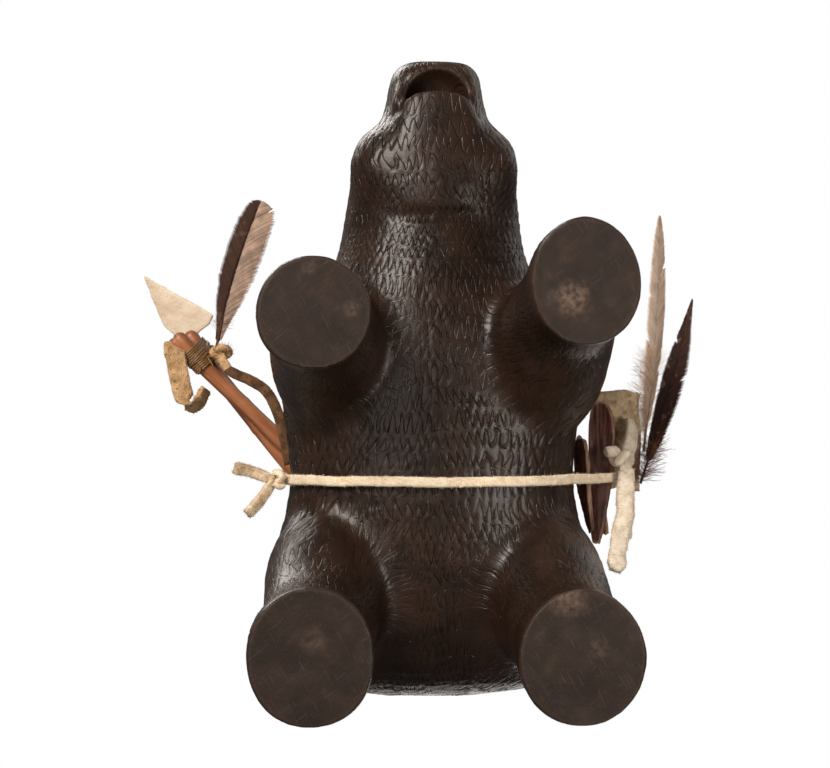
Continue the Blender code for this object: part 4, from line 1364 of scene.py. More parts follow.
@dataclass
class Lace:
    """The cream suede lace round the belly, its knot and its two cut ends."""

    width: float = 3.2
    thickness: float = 1.5
    # The lace is pulled tight round the body, so it is narrower there than at its cut ends.
    band_narrowing: float = 0.87
    knot_radii: Point = (2.2, 2.0, 0.9)

    def band(self) -> Shape:
        """The closed band, pulled tight round the body and the bundle.

        Returns:
            The band, with its fibres.
        """
        band = refined("belly_thong", 0.42, 3)
        napped(band, 0.2, 71)
        p = band.points
        middle = p[:, 1].mean()
        band.points[:, 1] = middle + self.band_narrowing * (p[:, 1] - middle)
        band.points[:, 1] += 0.22 * noise(p * (1, 0, 1), 7.0, 73)
        return together([band, fuzz(band, 9000, 0.7, 75)])

    def end(self, node: str, start: np.ndarray, splay: float, seed: int) -> Shape:
        """One cut end.

        Args:
            node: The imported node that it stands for.
            start: Where it leaves the knot.
            splay: How much wider its cut end is.
            seed: Which unevenness.

        Returns:
            The end, with its fibres.
        """
        points = node_points(node)
        far = points[np.argsort(np.linalg.norm(points - start, axis=1))]
        tip, middle = far[-30:].mean(axis=0), far[len(far) // 2 - 15:len(far) // 2 + 15].mean(axis=0)
        path = curve_through(np.vstack([start, middle, tip]), 24)
        spread = ((0, 0.62), (0.25, 0.9), (0.8, 1.0), (0.97, splay), (1, 0.92 * splay))
        wide = self.width / 2 * profile(spread, 24)
        deep = self.thickness / 2 * profile(((0, 0.9), (0.9, 1.0), (1, 0.8)), 24)
        side = np.linspace((0.0, 1.0, 0.1), (0.25, 1.0, 0.55), 24)
        shape = swept(path, wide, deep, side, 4.5, 20)
        napped(shape, 0.2, seed)
        return together([shape, fuzz(shape, 900, 0.7, seed + 1)])

    def build(self) -> None:
        """Puts the lace in the model."""
        place(self.band(), "belly_lace", CREAM, Body.BEAR, "belly_thong")
        centre = node_points("thong_knot").mean(axis=0)
        turn = Matrix.Rotation(math.radians(90), 4, "Y") @ Matrix.Rotation(math.radians(25), 4, "Z")
        knot = tied(centre, self.knot_radii, 1.0, 0.75, turn, 81)
        place(knot, "lace_knot", CREAM, Body.BEAR, "thong_knot")
        start = centre + (-1.0, 0.2, 0.0)
        for side, splay, seed in (("front", 1.0, 83), ("rear", 0.95, 87)):
            node = f"thong_tail_{side}"
            place(self.end(node, start, splay, seed), f"lace_end_{side}", LACE_END, Body.BEAR, node)


def axis_of(node: str, near: np.ndarray) -> tuple[np.ndarray, np.ndarray]:
    """The two ends of a long node.

    Args:
        node: The node's name.
        near: A point nearer to the end that comes first.

    Returns:
        The near end and the far end.
    """
    points = node_points(node)
    middle = points.mean(axis=0)
    axis = np.linalg.svd(points - middle, full_matrices=False)[2][0]
    reach = (points - middle) @ axis
    low = points[reach < reach.min() + 1.0].mean(axis=0)
    high = points[reach > reach.max() - 1.0].mean(axis=0)
    return (low, high) if np.linalg.norm(low - near) < np.linalg.norm(high - near) else (high, low)


def half_outline(run: list[tuple[float, float]]) -> list[tuple[float, float]]:
    """One side of a convex outline.

    Args:
        run: The points in order along the side.

    Returns:
        Those that lie on the outline, but for the last.
    """
    kept: list[tuple[float, float]] = []
    for x, y in run:
        while len(kept) > 1:
            (ax, ay), (bx, by) = kept[-2], kept[-1]
            if (bx - ax) * (y - ay) - (by - ay) * (x - ax) > 0:
                break
            kept.pop()
        kept.append((x, y))
    return kept[:-1]


def outline_round(points: np.ndarray) -> np.ndarray:
    """The convex outline round flat points, anticlockwise."""
    rows = sorted(map(tuple, points))
    return np.array(half_outline(rows) + half_outline(rows[::-1]))


@dataclass
class Lance:
    """Two canes with a hide point, its lashing, a folded strip, a feather and its ties."""

    cane_radius: float = 2.2
    # The knob at a cane's front end, and its plain rear end: how far from the front end, in
    # millimetres, and how thick there. The last two sizes are at the rear end.
    knob_spots: tuple[float, ...] = (0, 0.25, 1.0, 2.8, 4.6, 7.5)
    knob_sizes: tuple[float, ...] = (0.55, 0.86, 1.12, 1.24, 1.14, 1.0, 0.97, 0.72)
    cane_rings: tuple[float, ...] = (24.0, 47.0, 73.0)
    front: Point = (-70.0, -13.0, 84.0)
    thread_radius: float = 0.3
    turns: int = 11
    # The turns that cross over the lashing: slant, turns, how far out and how far along.
    crossings: tuple[tuple[float, int, float, float], ...] = ((2.6, 2, 0.45, 2.0), (-2.4, 2, 0.85, 3.4))
    # Where the lashing is on each cane, from its front end, and how high the point lies on it.
    lashing_at: float = 9.0
    lashing_at_upper: float = 7.8
    point_lift: float = 3.9
    strip_width: float = 5.6
    strip_thickness: float = 1.5
    strip_route: tuple[Point, ...] = (
        (-67.4, -10.2, 79.6), (-66.4, -7.0, 78.0), (-65.4, -1.5, 77.0), (-64.2, 3.6, 76.4),
        (-62.4, 6.8, 76.8), (-60.2, 6.6, 78.0), (-58.8, 4.6, 79.2), (-58.0, 2.8, 79.8),
    )
    tie_width: float = 2.4
    tie_length: float = 0.035
    # The tie's route from the feather's knot to the flank.
    tie_route: tuple[Point, ...] = (
        (-52.4, -3.0, 81.2), (-49.8, -1.4, 80.6), (-46.0, 0.2, 79.4), (-41.6, 3.1, 77.4),
        (-38.6, 8.3, 75.6), (-36.4, 16.3, 74.2), (-35.2, 23.3, 73.2),
    )

    def cane(self, node: str, seed: int) -> Shape:
        """One cane.

        Args:
            node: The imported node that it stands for.
            seed: Which unevenness.

        Returns:
            The cane, with its knobbed end, rings and end grain.
        """
        start, end = axis_of(node, np.array(self.front))
        count = 110
        share = np.linspace(0, 1, count) ** 1.35
        path = start + (end - start) * share[:, None]
        length = np.linalg.norm(end - start)
        reach = share * length
        spots, sizes = (*self.knob_spots, length - 1.2, length), self.knob_sizes
        swell = np.interp(reach, spots, sizes)
        for ring in self.cane_rings:
            swell = swell + 0.07 * np.exp(-(((reach - ring - seed) / 0.8) ** 2))
        swell = swell + 0.035 * noise(np.stack([reach, 0 * reach, 0 * reach], axis=1), 9.0, seed)
        radius = self.cane_radius * swell
        shape = swept(path, radius, radius, np.array([0.0, 0.3, 1.0]), 2.0, 28)
        axis = unit(end - start)
        off = shape.points - start
        along = off @ axis
        out = off - along[:, None] * axis
        crack = np.cross(axis, (0.2, 0.5, 1.0))
        side = out @ unit(crack) / self.cane_radius
        lobes = ease(7.0, 1.5, along)
        shape.points = shape.points + out * (0.16 * lobes * (np.abs(side) - 0.45))[:, None]
        split = np.exp(-((side / 0.13) ** 2)) * ease(6.0, 0.5, along)
        deeper = axis * (split * 0.7 * ease(1.5, 0.0, along))[:, None]
        shape.points = shape.points + deeper - unit(out) * (split * 0.45)[:, None]
        # The shade mark is painted shade: highest on the side that faces up, forward and towards the bear's
        # left.
        facing = unit(out) @ unit(np.array([0.55, -0.5, 0.65]))
        end = np.maximum(ease(0.5, 0.0, along), ease(length - 0.6, length - 0.1, along)) * 0.8
        return shape.marked(shade=ease(-0.1, 0.9, facing), end=end)

    def thread(self, path: np.ndarray, heading: np.ndarray, thick: float = 1.0, flat: float = 0.8) -> Shape:
        """A run of the lashing's thread.

        Args:
            path: The run's middle.
            heading: The canes' direction.
            thick: Its half-width, in thread radii.
            flat: Its half-depth, in thread radii.

        Returns:
            The thread.
        """
        radius = self.thread_radius
        return swept(path, radius * thick, radius * flat, rolled(path, heading), 2.0, 7)

    def lashing(self) -> Shape:
        """The sinew wound round both canes and the neck of the point.

        Returns:
            The winding, its crossing turns and its two loose ends.
        """
        low_start, low_end = axis_of("lance_shaft_lower", np.array(self.front))
        high_start, high_end = axis_of("lance_shaft_upper", np.array(self.front))
        low_way, high_way = unit(low_end - low_start), unit(high_end - high_start)
        heading = unit(low_way + high_way)
        low = low_start + low_way * self.lashing_at
        high = high_start + high_way * self.lashing_at_upper
        up = high - low
        up = unit(up - heading * np.dot(up, heading))
        across = np.cross(heading, up)
        reach = float(np.dot(high - low, up))
        ring = np.linspace(0, 2 * np.pi, 24, endpoint=False)
        circle = np.stack([np.cos(ring), np.sin(ring)], axis=1)
        circle = circle * (self.cane_radius * 1.06 + self.thread_radius)
        plate = np.array([(x, reach + self.point_lift + 0.75) for x in (-2.1, 2.1)])
        outline = outline_round(np.vstack([circle, circle + (0, reach), plate]))
        outline = curve_through(np.c_[outline, np.zeros(len(outline))], 44, closed=True)[:, :2]
        shapes = []
        pitch = 2.05 * self.thread_radius
        rng = np.random.default_rng(91)
        for slant, turns, grow, first in ((0.0, self.turns, 0.0, 0.0), *self.crossings):
            count = turns * len(outline)
            step = np.arange(count) / len(outline)
            spot = outline[np.arange(count) % len(outline)]
            spot = spot * (1 + grow * 0.12) + rng.normal(0, 0.015, spot.shape)
            shift = first + step * pitch - 3.3 + slant * np.sin(2 * np.pi * step) * 0.5
            path = low + across * spot[:, :1] + up * spot[:, 1:] + heading * shift[:, None]
            shapes.append(self.thread(path, heading))
        base = low + across * (self.cane_radius + 0.9) + heading * 1.0
        for way in np.array([(0.4, 0.7, -1.0), (-0.8, 1.2, -0.6)]):
            tail = np.vstack([base, base + way * 1.6, base + way * 3.0 + (0.6, 0.8, -0.6)])
            shapes.append(self.thread(curve_through(tail, 16), heading, 0.9, 0.6))
        turn = Matrix.Rotation(0.6, 4, "X")
        shapes.append(self.thread(knot_path(base, (0.75, 0.7, 0.5), turn, 40), heading))
        return together(shapes)

    def point(self) -> Shape:
        """The thin hide point.

        Returns:
            The point, a little curled at its corners.
        """
        shape = refined("lance_point", 0.34, 5)
        p = shape.points
        shape.points[:, 2] += 0.35 * noise(p * (1, 1, 0), 9.0, 101) + 0.1 * noise(p * (1, 1, 0), 3.0, 102)
        shape.points[:, :2] += 0.16 * np.stack([noise(p, 2.2, 103), noise(p, 2.2, 104)], axis=1)
        return shape.marked(edge=edge_mark(shape, 0.2))

    def strip(self) -> Shape:
        """The flecked strip folded over the cane ends.

        Returns:
            The strip, flat to below and turned up at its end, with its fibres.
        """
        path = curve_through(self.strip_route, 44)
        spread = ((0, 0.8), (0.08, 1.0), (0.55, 0.96), (0.8, 0.9), (1, 0.82))
        wide = self.strip_width / 2 * profile(spread, 44)
        turned = ease(0.58, 0.74, np.linspace(0, 1, 44))[:, None]
        side = np.array([1.0, 0.25, 0.15]) * (1 - turned) + np.array([0.35, 0.75, 0.9]) * turned
        shape = swept(path, wide, self.strip_thickness / 2, side, 5.0, 30)
        shape = napped(shape, 0.34, 121)
        return together([shape, fuzz(shape, 1500, 0.6, 122)])

    def tie(self) -> tuple[Shape, np.ndarray]:
        """The brown thong from the feather's knot to the flank.

        Returns:
            The thong and the path that it follows.
        """
        path = curve_through(self.tie_route, 36)
        half = self.tie_width / 2 * profile(((0, 0.9), (0.04, 1.2), (0.97, 1.25), (1, 1.0)), 36)
        shape = swept(path, half, half * 0.62, np.array([1.0, -0.8, 0.15]), 3.2, 18)
        return together([napped(shape, 0.14, 111), fuzz(shape, 500, 0.4, 112)]), path

    def build(self) -> None:
        """Puts the lance in the model."""
        for which, seed in (("lower", 3), ("upper", 9)):
            node = f"lance_shaft_{which}"
            place(self.cane(node, seed), f"{which}_cane", RED_CANE, Body.BEAR, node)
        place(self.point(), "hide_point", HIDE, Body.BEAR, "lance_point")
        place(self.lashing(), "sinew_lashing", SINEW, Body.BEAR, "point_lashing")
        place(self.strip(), "haft_strip", TAN, Body.BEAR, "haft_wrap")
        centre = node_points("feather_tie").mean(axis=0) + (-1.4, -0.4, 0.0)
        turn = Matrix.Rotation(0.5, 4, "Y") @ Matrix.Rotation(1.1, 4, "Z")
        knot = tied(centre, (2.2, 2.3, 1.2), 1.1, 0.85, turn, 131)
        into_tie = np.array(self.tie_route[0]) + (0.5, 0.4, -0.2)
        run = curve_through(np.vstack([centre, centre + (0.6, 2.0, -1.2), into_tie]), 12)
        joined = napped(swept(run, 1.3, 0.9, rolled(run, np.array([1.0, -0.6, 0.2])), 2.8, 16), 0.2, 135)
        tuft = fuzz(knot, 700, 1.6, 133, (-0.3, -0.2, -0.6))
        knot = together([knot, joined, fuzz(joined, 200, 0.6, 137), tuft])
        place(knot, "feather_knot", TAN, Body.BEAR, "feather_tie")
        shape, path = self.tie()
        tie = place(shape, "lance_tie", BROWN, Body.BEAR, "lance_tie_thong")


@dataclass
class SideBundle:
    """What the lace holds on the left side: bark slips, a folded hide and suede ends."""

    slips: tuple[str, ...] = ("bark_slip_inner", "bark_slip_outer", "bark_slip_rear")
    hide_flat: tuple[float, float] = (0.026, 0.027)
    hide_thickness: float = 1.3
    # Half the width and the route of each strip at the knot: the one that comes down off the hide,
    # the cut end that stands out, and the one that goes on into the long end.
    strips: tuple[tuple[float, tuple[Point, ...]], ...] = (
        (2.7, ((57.6, 11.5, 66.6), (57.9, 14.5, 64.2), (56.8, 17.8, 61.0), (55.0, 20.8, 58.2))),
        (1.6, ((54.0, 20.6, 57.8), (52.4, 19.8, 57.2), (50.8, 19.4, 56.4), (49.6, 19.8, 55.8))),
        (2.3, ((54.6, 19.6, 58.0), (55.0, 21.6, 57.8), (55.2, 23.6, 57.2), (55.2, 25.6, 56.6))),
    )
    # The hide's section across its fold, in shares of its box, from one cut edge to the other.
    hide_section: tuple[Point, ...] = (
        (0.02, 0.0, 0.16), (0.35, 0.0, 0.12), (0.75, 0.0, 0.10), (0.97, 0.0, 0.32), (1.0, 0.0, 0.55),
        (0.93, 0.0, 0.84), (0.7, 0.0, 0.90), (0.35, 0.0, 0.80), (0.08, 0.0, 0.86),
    )
    hide_rows: int = 46
    drop_width: float = 5.0
    drop_thickness: float = 2.2
    drop_length: float = 0.0305
    drop_route: tuple[Point, ...] = (
        (55.2, 24.3, 57.0), (54.8, 30.5, 55.0), (53.8, 36.9, 51.8), (52.0, 43.5, 47.8), (50.0, 50.3, 42.8),
    )

    def slip(self, node: str, seed: int) -> Shape:
        """One slip of bark.

        Args:
            node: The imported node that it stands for.
            seed: Which unevenness.

        Returns:
            The slip, ribbed along and broken at its edges.
        """
        shape = refined(node, 0.34, 3)
        edge = edge_mark(shape, 0.16)
        p, normals = shape.points, normals_of(shape)
        ribs = 0.16 * noise(p * (1.0, 0.12, 1.0), 0.9, seed) + 0.1 * layered(p, 3.0, seed + 1, 2)
        shape.points = p + normals * ribs[:, None]
        shape.points[:, 1] += 0.9 * edge * noise(p * (1.0, 0.2, 1.0), 1.1, seed + 2)
        return shape.marked(edge=edge)

    def hide(self) -> Shape:
        """The folded hide: one sheet doubled over, its fold rolled along the outer edge.

        Returns:
            The sheet, with its fibres.
        """
        low, high = node_points("hide_fold").min(axis=0), node_points("hide_fold").max(axis=0)
        across = curve_through(self.hide_section, self.hide_rows)
        along = np.linspace(0, 1, self.hide_rows)
        grid = np.zeros((self.hide_rows, len(across), 3))
        narrow = 1 - 0.22 * ease(0.45, 0.0, along) * along**0.3 - 0.05 * ease(0.7, 1.0, along)
        span = (high - low) * (1.0, 1.0, 0.86)
        for i, share in enumerate(along):
            grid[i] = low + across * span * (narrow[i], 0, 1)
            grid[i, :, 0] += (1 - narrow[i]) * span[0] * 0.8
            grid[i, :, 1] = low[1] + 0.4 + share * (span[1] - 0.8)
        flat = grid.reshape(-1, 3)
        rumple = layered(flat * (1.0, 0.55, 0.5), 4.6, 141, 3)
        flat[:, 2] += 1.5 * rumple * (1 - 0.5 * ease(0.8, 1.0, (flat[:, 0] - low[0]) / span[0]))
        flat[:, 0] += 0.9 * noise(flat * (0.2, 1.0, 1.0), 6.0, 147)
        flat[:, 1] += 1.1 * noise(flat * (1.0, 0.1, 1.0), 4.5, 149)
        shape = napped(doubled(flat.reshape(grid.shape), self.hide_thickness), 0.16, 143)
        return together([shape, fuzz(shape, 1800, 0.6, 145)])

    def drop(self) -> tuple[Shape, np.ndarray]:
        """The long suede end.

        Returns:
            The end and the path that it follows.
        """
        path = curve_through(self.drop_route, 34)
        spread = ((0, 0.78), (0.1, 0.95), (0.5, 1.0), (0.8, 0.92), (0.94, 1.04), (1, 0.62))
        wide = self.drop_width / 2 * profile(spread, 34)
        deep = self.drop_thickness / 2 * profile(((0, 1.4), (0.4, 1.1), (0.95, 1.0), (1, 0.75)), 34)
        side = np.linspace((1.0, 0.1, 0.1), (1.0, 0.2, 0.3), 34)
        shape = napped(swept(path, wide, deep, side, 2.8, 26), 0.34, 151)
        shape.points[:, 0] += 0.3 * noise(shape.points * (0, 1, 1), 4.0, 153)
        return together([shape, fuzz(shape, 2200, 0.75, 155)]), path

    def build(self) -> None:
        """Puts the side bundle in the model."""
        for i, node in enumerate(self.slips):
            place(self.slip(node, 161 + 7 * i), node.replace("bark_slip", "slip"), BARK, Body.BEAR, node)
        hide = place(self.hide(), "folded_hide", FOLDED, Body.BEAR, "hide_fold")
        centre = node_points("drop_knot").mean(axis=0)
        turn = Matrix.Rotation(math.radians(80), 4, "X")
        knot = tied(centre, (2.6, 1.9, 1.2), 1.35, 1.0, turn, 171)
        ends = []
        for half, route in self.strips:
            path = curve_through(route, 20)
            wide = half * profile(((0, 0.75), (0.4, 1.0), (0.85, 0.95), (1, 0.7)), 20)
            end = napped(swept(path, wide, 1.0, rolled(path, np.array([0.4, 0.5, 0.3])), 2.6, 20), 0.3, 173)
            ends += [end, fuzz(end, 500, 0.6, 175)]
        place(together([knot, *ends]), "drop_knot_suede", PALE, Body.BEAR, "drop_knot")
        shape, path = self.drop()
        drop = place(shape, "long_suede_end", PALE, Body.BEAR, "suede_drop_long")
        short = napped(refined("suede_drop_short", 0.32, 4), 0.24, 181)
        short = together([short, fuzz(short, 420, 0.5, 183)])
        place(short, "short_suede_end", PALE, Body.BEAR, "suede_drop_short")


# ---------------------------------------------------------------- feathers


@dataclass
class Feather:
    """A feather on its quill: two vanes of separate barbs, and down at the quill end."""

    node: str
    name: str
    body: Body
    finish: Finish
    root: Point
    # The vane widths, on the side that "first_side" points to and on the other.
    vanes: tuple[float, float]
    first_side: Point
    bow: float
    bare: float = 0.12
    barb_step: float = 0.42
    barb_angle: float = 34.0
    longer: float = 0.0
    wisps: int = 60
    wisp_length: float = 4.2
    # The share of the length that has down, and how much of the down is on the first side.
    down_span: tuple[float, float] = (0.05, 0.24)
    down_first: float = 0.5
    # Where the barbs have parted, as shares of the length, and by what percentage of the vane.
    # The first, third and so on are on the first side.
    splits: tuple[tuple[float, int], ...] = ()
    split_width: float = 0.012
    # How much the vanes narrow towards the tip, beyond the common outline.
    pointed: float = 0.0
    quill_radius: float = 0.42
    seed: int = 1

    def spine(self) -> tuple[np.ndarray, np.ndarray, np.ndarray]:
        """Where the feather lies.

        Returns:
            The points of its spine, and its first side and upward directions.
        """
        points = node_points(self.node)
        base, tip = axis_of(self.node, np.array(self.root))
        base = base - unit(tip - base) * self.longer
        middle = points - points.mean(axis=0)
        forward = unit(tip - base)
        flat = middle - np.outer(middle @ forward, forward)
        side = np.linalg.svd(flat, full_matrices=False)[2][0]
        side = side * np.sign(np.dot(side, self.first_side))
        share = np.linspace(0, 1, 60)[:, None]
        bow = side * self.bow * np.sin(np.pi * share)
        return base + (tip - base) * share + bow, side, np.cross(forward, side)

    def vane(self, spine: np.ndarray, side: np.ndarray, up: np.ndarray, width: float, second: bool) -> Shape:
        """One vane, barb by barb.

        Args:
            spine: The spine's points.
            side: The direction that the vane goes out in.
            up: The feather's upward direction.
            width: The widest that it gets.
            second: Whether it is the second vane, which has the finish's other colour.

        Returns:
            The barbs, each a thin curved blade.
        """
        rng = np.random.default_rng(self.seed + 10 * second)
        steps = distances(spine)
        length = steps[-1]
        slope = math.tan(math.radians(self.barb_angle))
        shapes = []
        cuts = 7
        for at in np.arange(self.bare * length, length - 0.3, self.barb_step):
            share = at / length
            reach = width * float(np.interp(share, *zip(*VANE_OUTLINE)))
            reach *= 1 - self.pointed * float(ease(0.45, 1.0, np.array(share)))
            if reach < 0.25:
                continue
            lean = min(1.0, (length - at) / (reach / slope + 0.01))
            gap = sum(
                depth * math.exp(-(((share - spot) / self.split_width) ** 2))
                for spot, depth in self.splits[second::2]
            )
            reach *= 1 - 0.01 * gap + rng.normal(0, 0.02)
            out = np.linspace(0, 1, cuts)
            forward_by = reach / slope * (1 - 0.25 * out) * out * lean
            where = np.clip(at + forward_by, 0, length)
            line = np.stack([np.interp(where, steps, spine[:, k]) for k in range(3)], axis=1)
            line = line + side * (out * reach)[:, None]
            arch = 0.5 * reach / max(width, 0.1) * (1 - out**2)
            line = line + up * (arch + rng.normal(0, 0.03) * out)[:, None]
            thick = self.barb_step * 0.62 * profile(((0, 1.0), (0.7, 0.95), (1, 0.25)), cuts)
            blade = swept(line, thick, 0.07, rolled(line, np.array(unit(spine[-1] - spine[0]))), 2.0, 6)
            shade = rng.uniform(0, 1) ** 2
            shapes.append(blade.marked(barb=shade, second_vane=float(second), quill=0.0, down=0.0))
        return together(shapes)

    def down(self, spine: np.ndarray, side: np.ndarray, up: np.ndarray) -> Shape:
        """Loose curled wisps at the quill end.

        Args:
            spine: The spine's points.
            side: The direction of the first side.
            up: The feather's upward direction.

        Returns:
            The wisps.
        """
        rng = np.random.default_rng(self.seed + 50)
        shapes = []
        forward = unit(spine[-1] - spine[0])
        for _ in range(self.wisps):
            at = spine[int(59 * rng.uniform(*self.down_span))]
            outward = side * (1 if rng.uniform() < self.down_first else -1) * rng.uniform(0.5, 1)
            way = unit(outward + forward * rng.uniform(0.1, 0.9) + up * rng.normal(0, 0.4))
            long = rng.uniform(0.4, 1.0) * self.wisp_length
            curl = unit(rng.normal(0, 1, 3)) * rng.uniform(0.3, 1.1)
            bend, tip = at + way * long * 0.5 + curl * 0.3, at + way * long + curl
            line = curve_through(np.vstack([at, bend, tip]), 7)
            blade = swept(line, 0.075 * np.linspace(1, 0.3, 7), 0.04, rolled(line, up), 2.0, 3)
            shapes.append(blade.marked(barb=0.0, second_vane=0.0, quill=0.0, down=1.0))
        return together(shapes)

    def build(self) -> None:
        """Puts the feather in the model."""
        spine, side, up = self.spine()
        quill = self.quill_radius * np.linspace(1.0, 0.22, len(spine)) ** 0.8
        rod = swept(spine, quill, quill * 0.85, rolled(spine, side), 2.0, 10)
        rod.points = rod.points + up * 0.12
        rod.marked(barb=0.0, second_vane=0.0, quill=1.0, down=0.0)
        first = self.vane(spine, side, up, self.vanes[0], False)
        second = self.vane(spine, -side, up, self.vanes[1], True)
        shape = together([rod, first, second, self.down(spine, side, up)])
        place(shape, self.name, self.finish, self.body, self.node)


# Vane width along a feather, from the bare quill to the tip.
VANE_OUTLINE = (
    (0.0, 0.1), (0.1, 0.3), (0.2, 0.66), (0.34, 0.92), (0.55, 1.0), (0.74, 0.92), (0.88, 0.66),
    (0.96, 0.34), (1.0, 0.1),
)

FEATHERS = (
    Feather(
        "lance_feather", "brown_quill_feather", Body.LANCE_FEATHER, LANCE_VANE, (-54.6, -10.7, 84.5),
        (4.6, 6.2), (-1.0, 0.0, 0.0), 1.0, bare=0.04, longer=2.0, down_span=(0.1, 0.2),
        splits=((0.3, 6), (0.86, 35)), wisps=40, seed=201,
    ),
    Feather(
        "pale_feather", "pale_quill_feather", Body.PALE_FEATHER, PALE_VANE, (62.2, 20.0, 72.5),
        (4.4, 4.6), (-1.0, 0.0, 0.0), -1.6, wisps=900, wisp_length=7.0,
        down_span=(0.08, 0.42), down_first=0.85, pointed=0.25,
        splits=((0.42, 30), (0.74, 34), (0.6, 16), (0.3, 22)), seed=301,
    ),
    Feather(
        "dark_feather", "dark_quill_feather", Body.DARK_FEATHER, DARK_VANE, (60.6, 28.5, 67.0),
        (4.4, 4.4), (-1.0, 0.0, 0.0), -1.2, wisps=420, wisp_length=6.4,
        down_span=(0.02, 0.22), pointed=0.62, splits=((0.72, 34), (0.5, 20)), seed=401,
    ),
)


# ---------------------------------------------------------------- the studio


@dataclass(frozen=True)
class Softbox:
    """A square area light."""

    name: str
    at: Point
    size: float
    watts: float
    colour: Colour


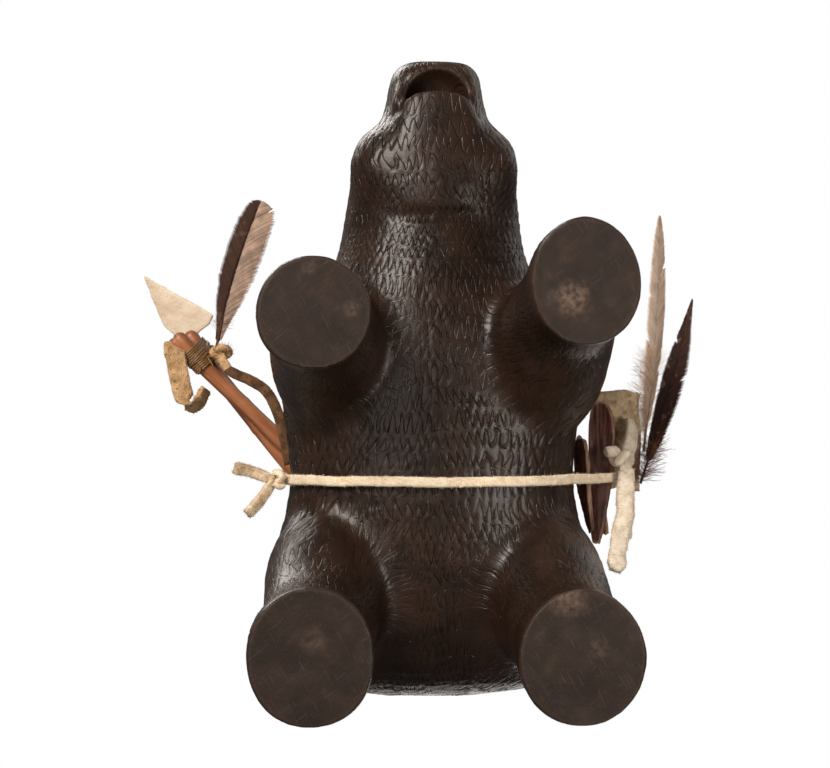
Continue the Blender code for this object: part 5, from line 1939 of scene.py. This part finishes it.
@dataclass
class Studio:
    """A pale floor, a white surround, soft lights and a camera that looks up at the soles."""

    eye: Point = (-0.0407, 0.0013, -0.6)
    tilt_deg: float = 3.4
    lens: float = 106.74
    aim: Point = (0.0, 0.0, 0.05)
    floor_size: float = 4.0
    # Just below the soles, so that the two never lie in one plane.
    floor_height: float = -0.0002
    # How far out, in metres, the floor starts to run into the white surround and has done so.
    floor_fade: tuple[float, float] = (0.12, 0.55)
    floor_colour: Colour = (0.80, 0.79, 0.77)
    surround_radius: float = 6.0
    boxes: tuple[Softbox, ...] = (
        Softbox("key_below", (-0.42, -0.42, -0.50), 0.26, 6.6, (1.0, 0.93, 0.86)),
        Softbox("fill_below", (0.45, 0.30, -0.55), 0.60, 0.6, (1.0, 0.92, 0.84)),
        Softbox("key_above", (-0.45, -0.65, 0.75), 0.50, 8.0, (1.0, 0.96, 0.91)),
        Softbox("fill_above", (0.60, -0.50, 0.60), 0.70, 1.6, (1.0, 0.95, 0.9)),
        Softbox("back_above", (0.25, 0.60, 0.80), 0.60, 2.6, (1.0, 0.96, 0.92)),
        Softbox("bundle_below", (0.22, 0.02, -0.22), 0.10, 0.42, (1.0, 0.95, 0.88)),
        Softbox("sheen_below", (-0.24, -0.16, -0.75), 0.34, 1.1, (1.0, 0.93, 0.86)),
    )
    ambient: float = 0.13
    ambient_colour: Colour = (1.0, 0.92, 0.84)

    def lights(self) -> None:
        """The soft lights and the even light all round."""
        for box in self.boxes:
            data = bpy.data.lights.new(box.name, "AREA")
            data.shape = "SQUARE"
            data.size = box.size
            data.energy = box.watts
            data.color = box.colour
            lamp = bpy.data.objects.new(box.name, data)
            lamp.location = box.at
            lamp.visible_camera = False
            way = Vector(self.aim) - Vector(box.at)
            lamp.rotation_euler = way.to_track_quat("-Z", "Y").to_euler()
            bpy.context.scene.collection.objects.link(lamp)
        world = bpy.data.worlds.new("even_light")
        world.use_nodes = True
        sky = world.node_tree.nodes["Background"]
        sky.inputs["Color"].default_value = (*self.ambient_colour, 1.0)
        sky.inputs["Strength"].default_value = self.ambient
        bpy.context.scene.world = world

    def camera(self) -> None:
        """The camera under the soles, its picture's top towards the bear's nose."""
        tilt = math.radians(self.tilt_deg)
        way = Vector((math.sin(tilt), 0, math.cos(tilt)))
        right = Vector((math.cos(tilt), 0, -math.sin(tilt)))
        up = Vector((0, -1, 0))
        data = bpy.data.cameras.new("camera")
        data.lens = self.lens
        data.sensor_width = 36.0
        data.clip_end = 50.0
        camera = bpy.data.objects.new("camera", data)
        turn = Matrix((right, up, -way)).transposed().to_4x4()
        camera.matrix_world = Matrix.Translation(Vector(self.eye)) @ turn
        bpy.context.scene.collection.objects.link(camera)
        bpy.context.scene.camera = camera

    def staged(self, name: str, mesh: bpy.types.Mesh, material: bpy.types.Material) -> bpy.types.Object:
        """Something that isn't part of the object, and that neither lights it nor shades it.

        Args:
            name: Its name.
            mesh: Its mesh.
            material: What it is made of.

        Returns:
            The staged object.
        """
        made = bpy.data.objects.new(name, mesh)
        mesh.materials.append(material)
        bpy.context.scene.collection.objects.link(made)
        for ray in ("shadow", "diffuse", "glossy", "transmission"):
            setattr(made, f"visible_{ray}", False)
        return made

    def floor(self) -> None:
        """A pale floor that shows from above only."""
        half = self.floor_size / 2
        mesh = bpy.data.meshes.new("floor")
        corners = [(-half, -half), (half, -half), (half, half), (-half, half)]
        mesh.from_pydata([(x, y, self.floor_height) for x, y in corners], [], [(0, 1, 2, 3)])
        made = Recipe("pale_floor", 0.85, Specular_IOR_Level=0.2)
        cloud = made.speckle(180.0, 2.0)
        made.colour(made.blend(cloud, tuple(0.97 * c for c in self.floor_colour), self.floor_colour))
        away = made.node("ShaderNodeVectorMath", operation="LENGTH")
        made.feed(away.inputs[0], made.here)
        glow = made.node("ShaderNodeEmission")
        share = made.between(*self.floor_fade, away.outputs["Value"])
        fading = made.mixed(share, made.shader.outputs[0], glow.outputs[0])
        clear = made.node("ShaderNodeBsdfTransparent")
        below = made.node("ShaderNodeNewGeometry").outputs["Backfacing"]
        made.surface(made.mixed(below, fading, clear.outputs[0]))
        self.staged("floor", mesh, made.material)

    def surround(self) -> None:
        """A white surround that only the camera sees."""
        work = bmesh.new()
        bmesh.ops.create_icosphere(work, subdivisions=3, radius=self.surround_radius)
        bmesh.ops.reverse_faces(work, faces=work.faces)
        mesh = bpy.data.meshes.new("surround")
        work.to_mesh(mesh)
        work.free()
        material = bpy.data.materials.new("white_surround")
        material.use_nodes = True
        tree = material.node_tree
        glow = tree.nodes.new("ShaderNodeEmission")
        glow.inputs["Strength"].default_value = 1.0
        tree.links.new(glow.outputs[0], tree.nodes["Material Output"].inputs["Surface"])
        self.staged("surround", mesh, material)

    def build(self) -> None:
        """Sets up the studio."""
        self.camera()
        self.lights()
        self.floor()
        self.surround()
        bpy.context.scene.view_settings.view_transform = "Standard"
        log.info("studio ready")


def main() -> None:
    """Builds the studio, then each sub-assembly in the order in which it is put together."""
    logging.basicConfig(level=logging.INFO, format="%(message)s")
    Studio().build()
    Bear().build()
    Lance().build()
    SideBundle().build()
    for feather in FEATHERS:
        feather.build()
    Lace().build()


if __name__ == "__main__":
    main()
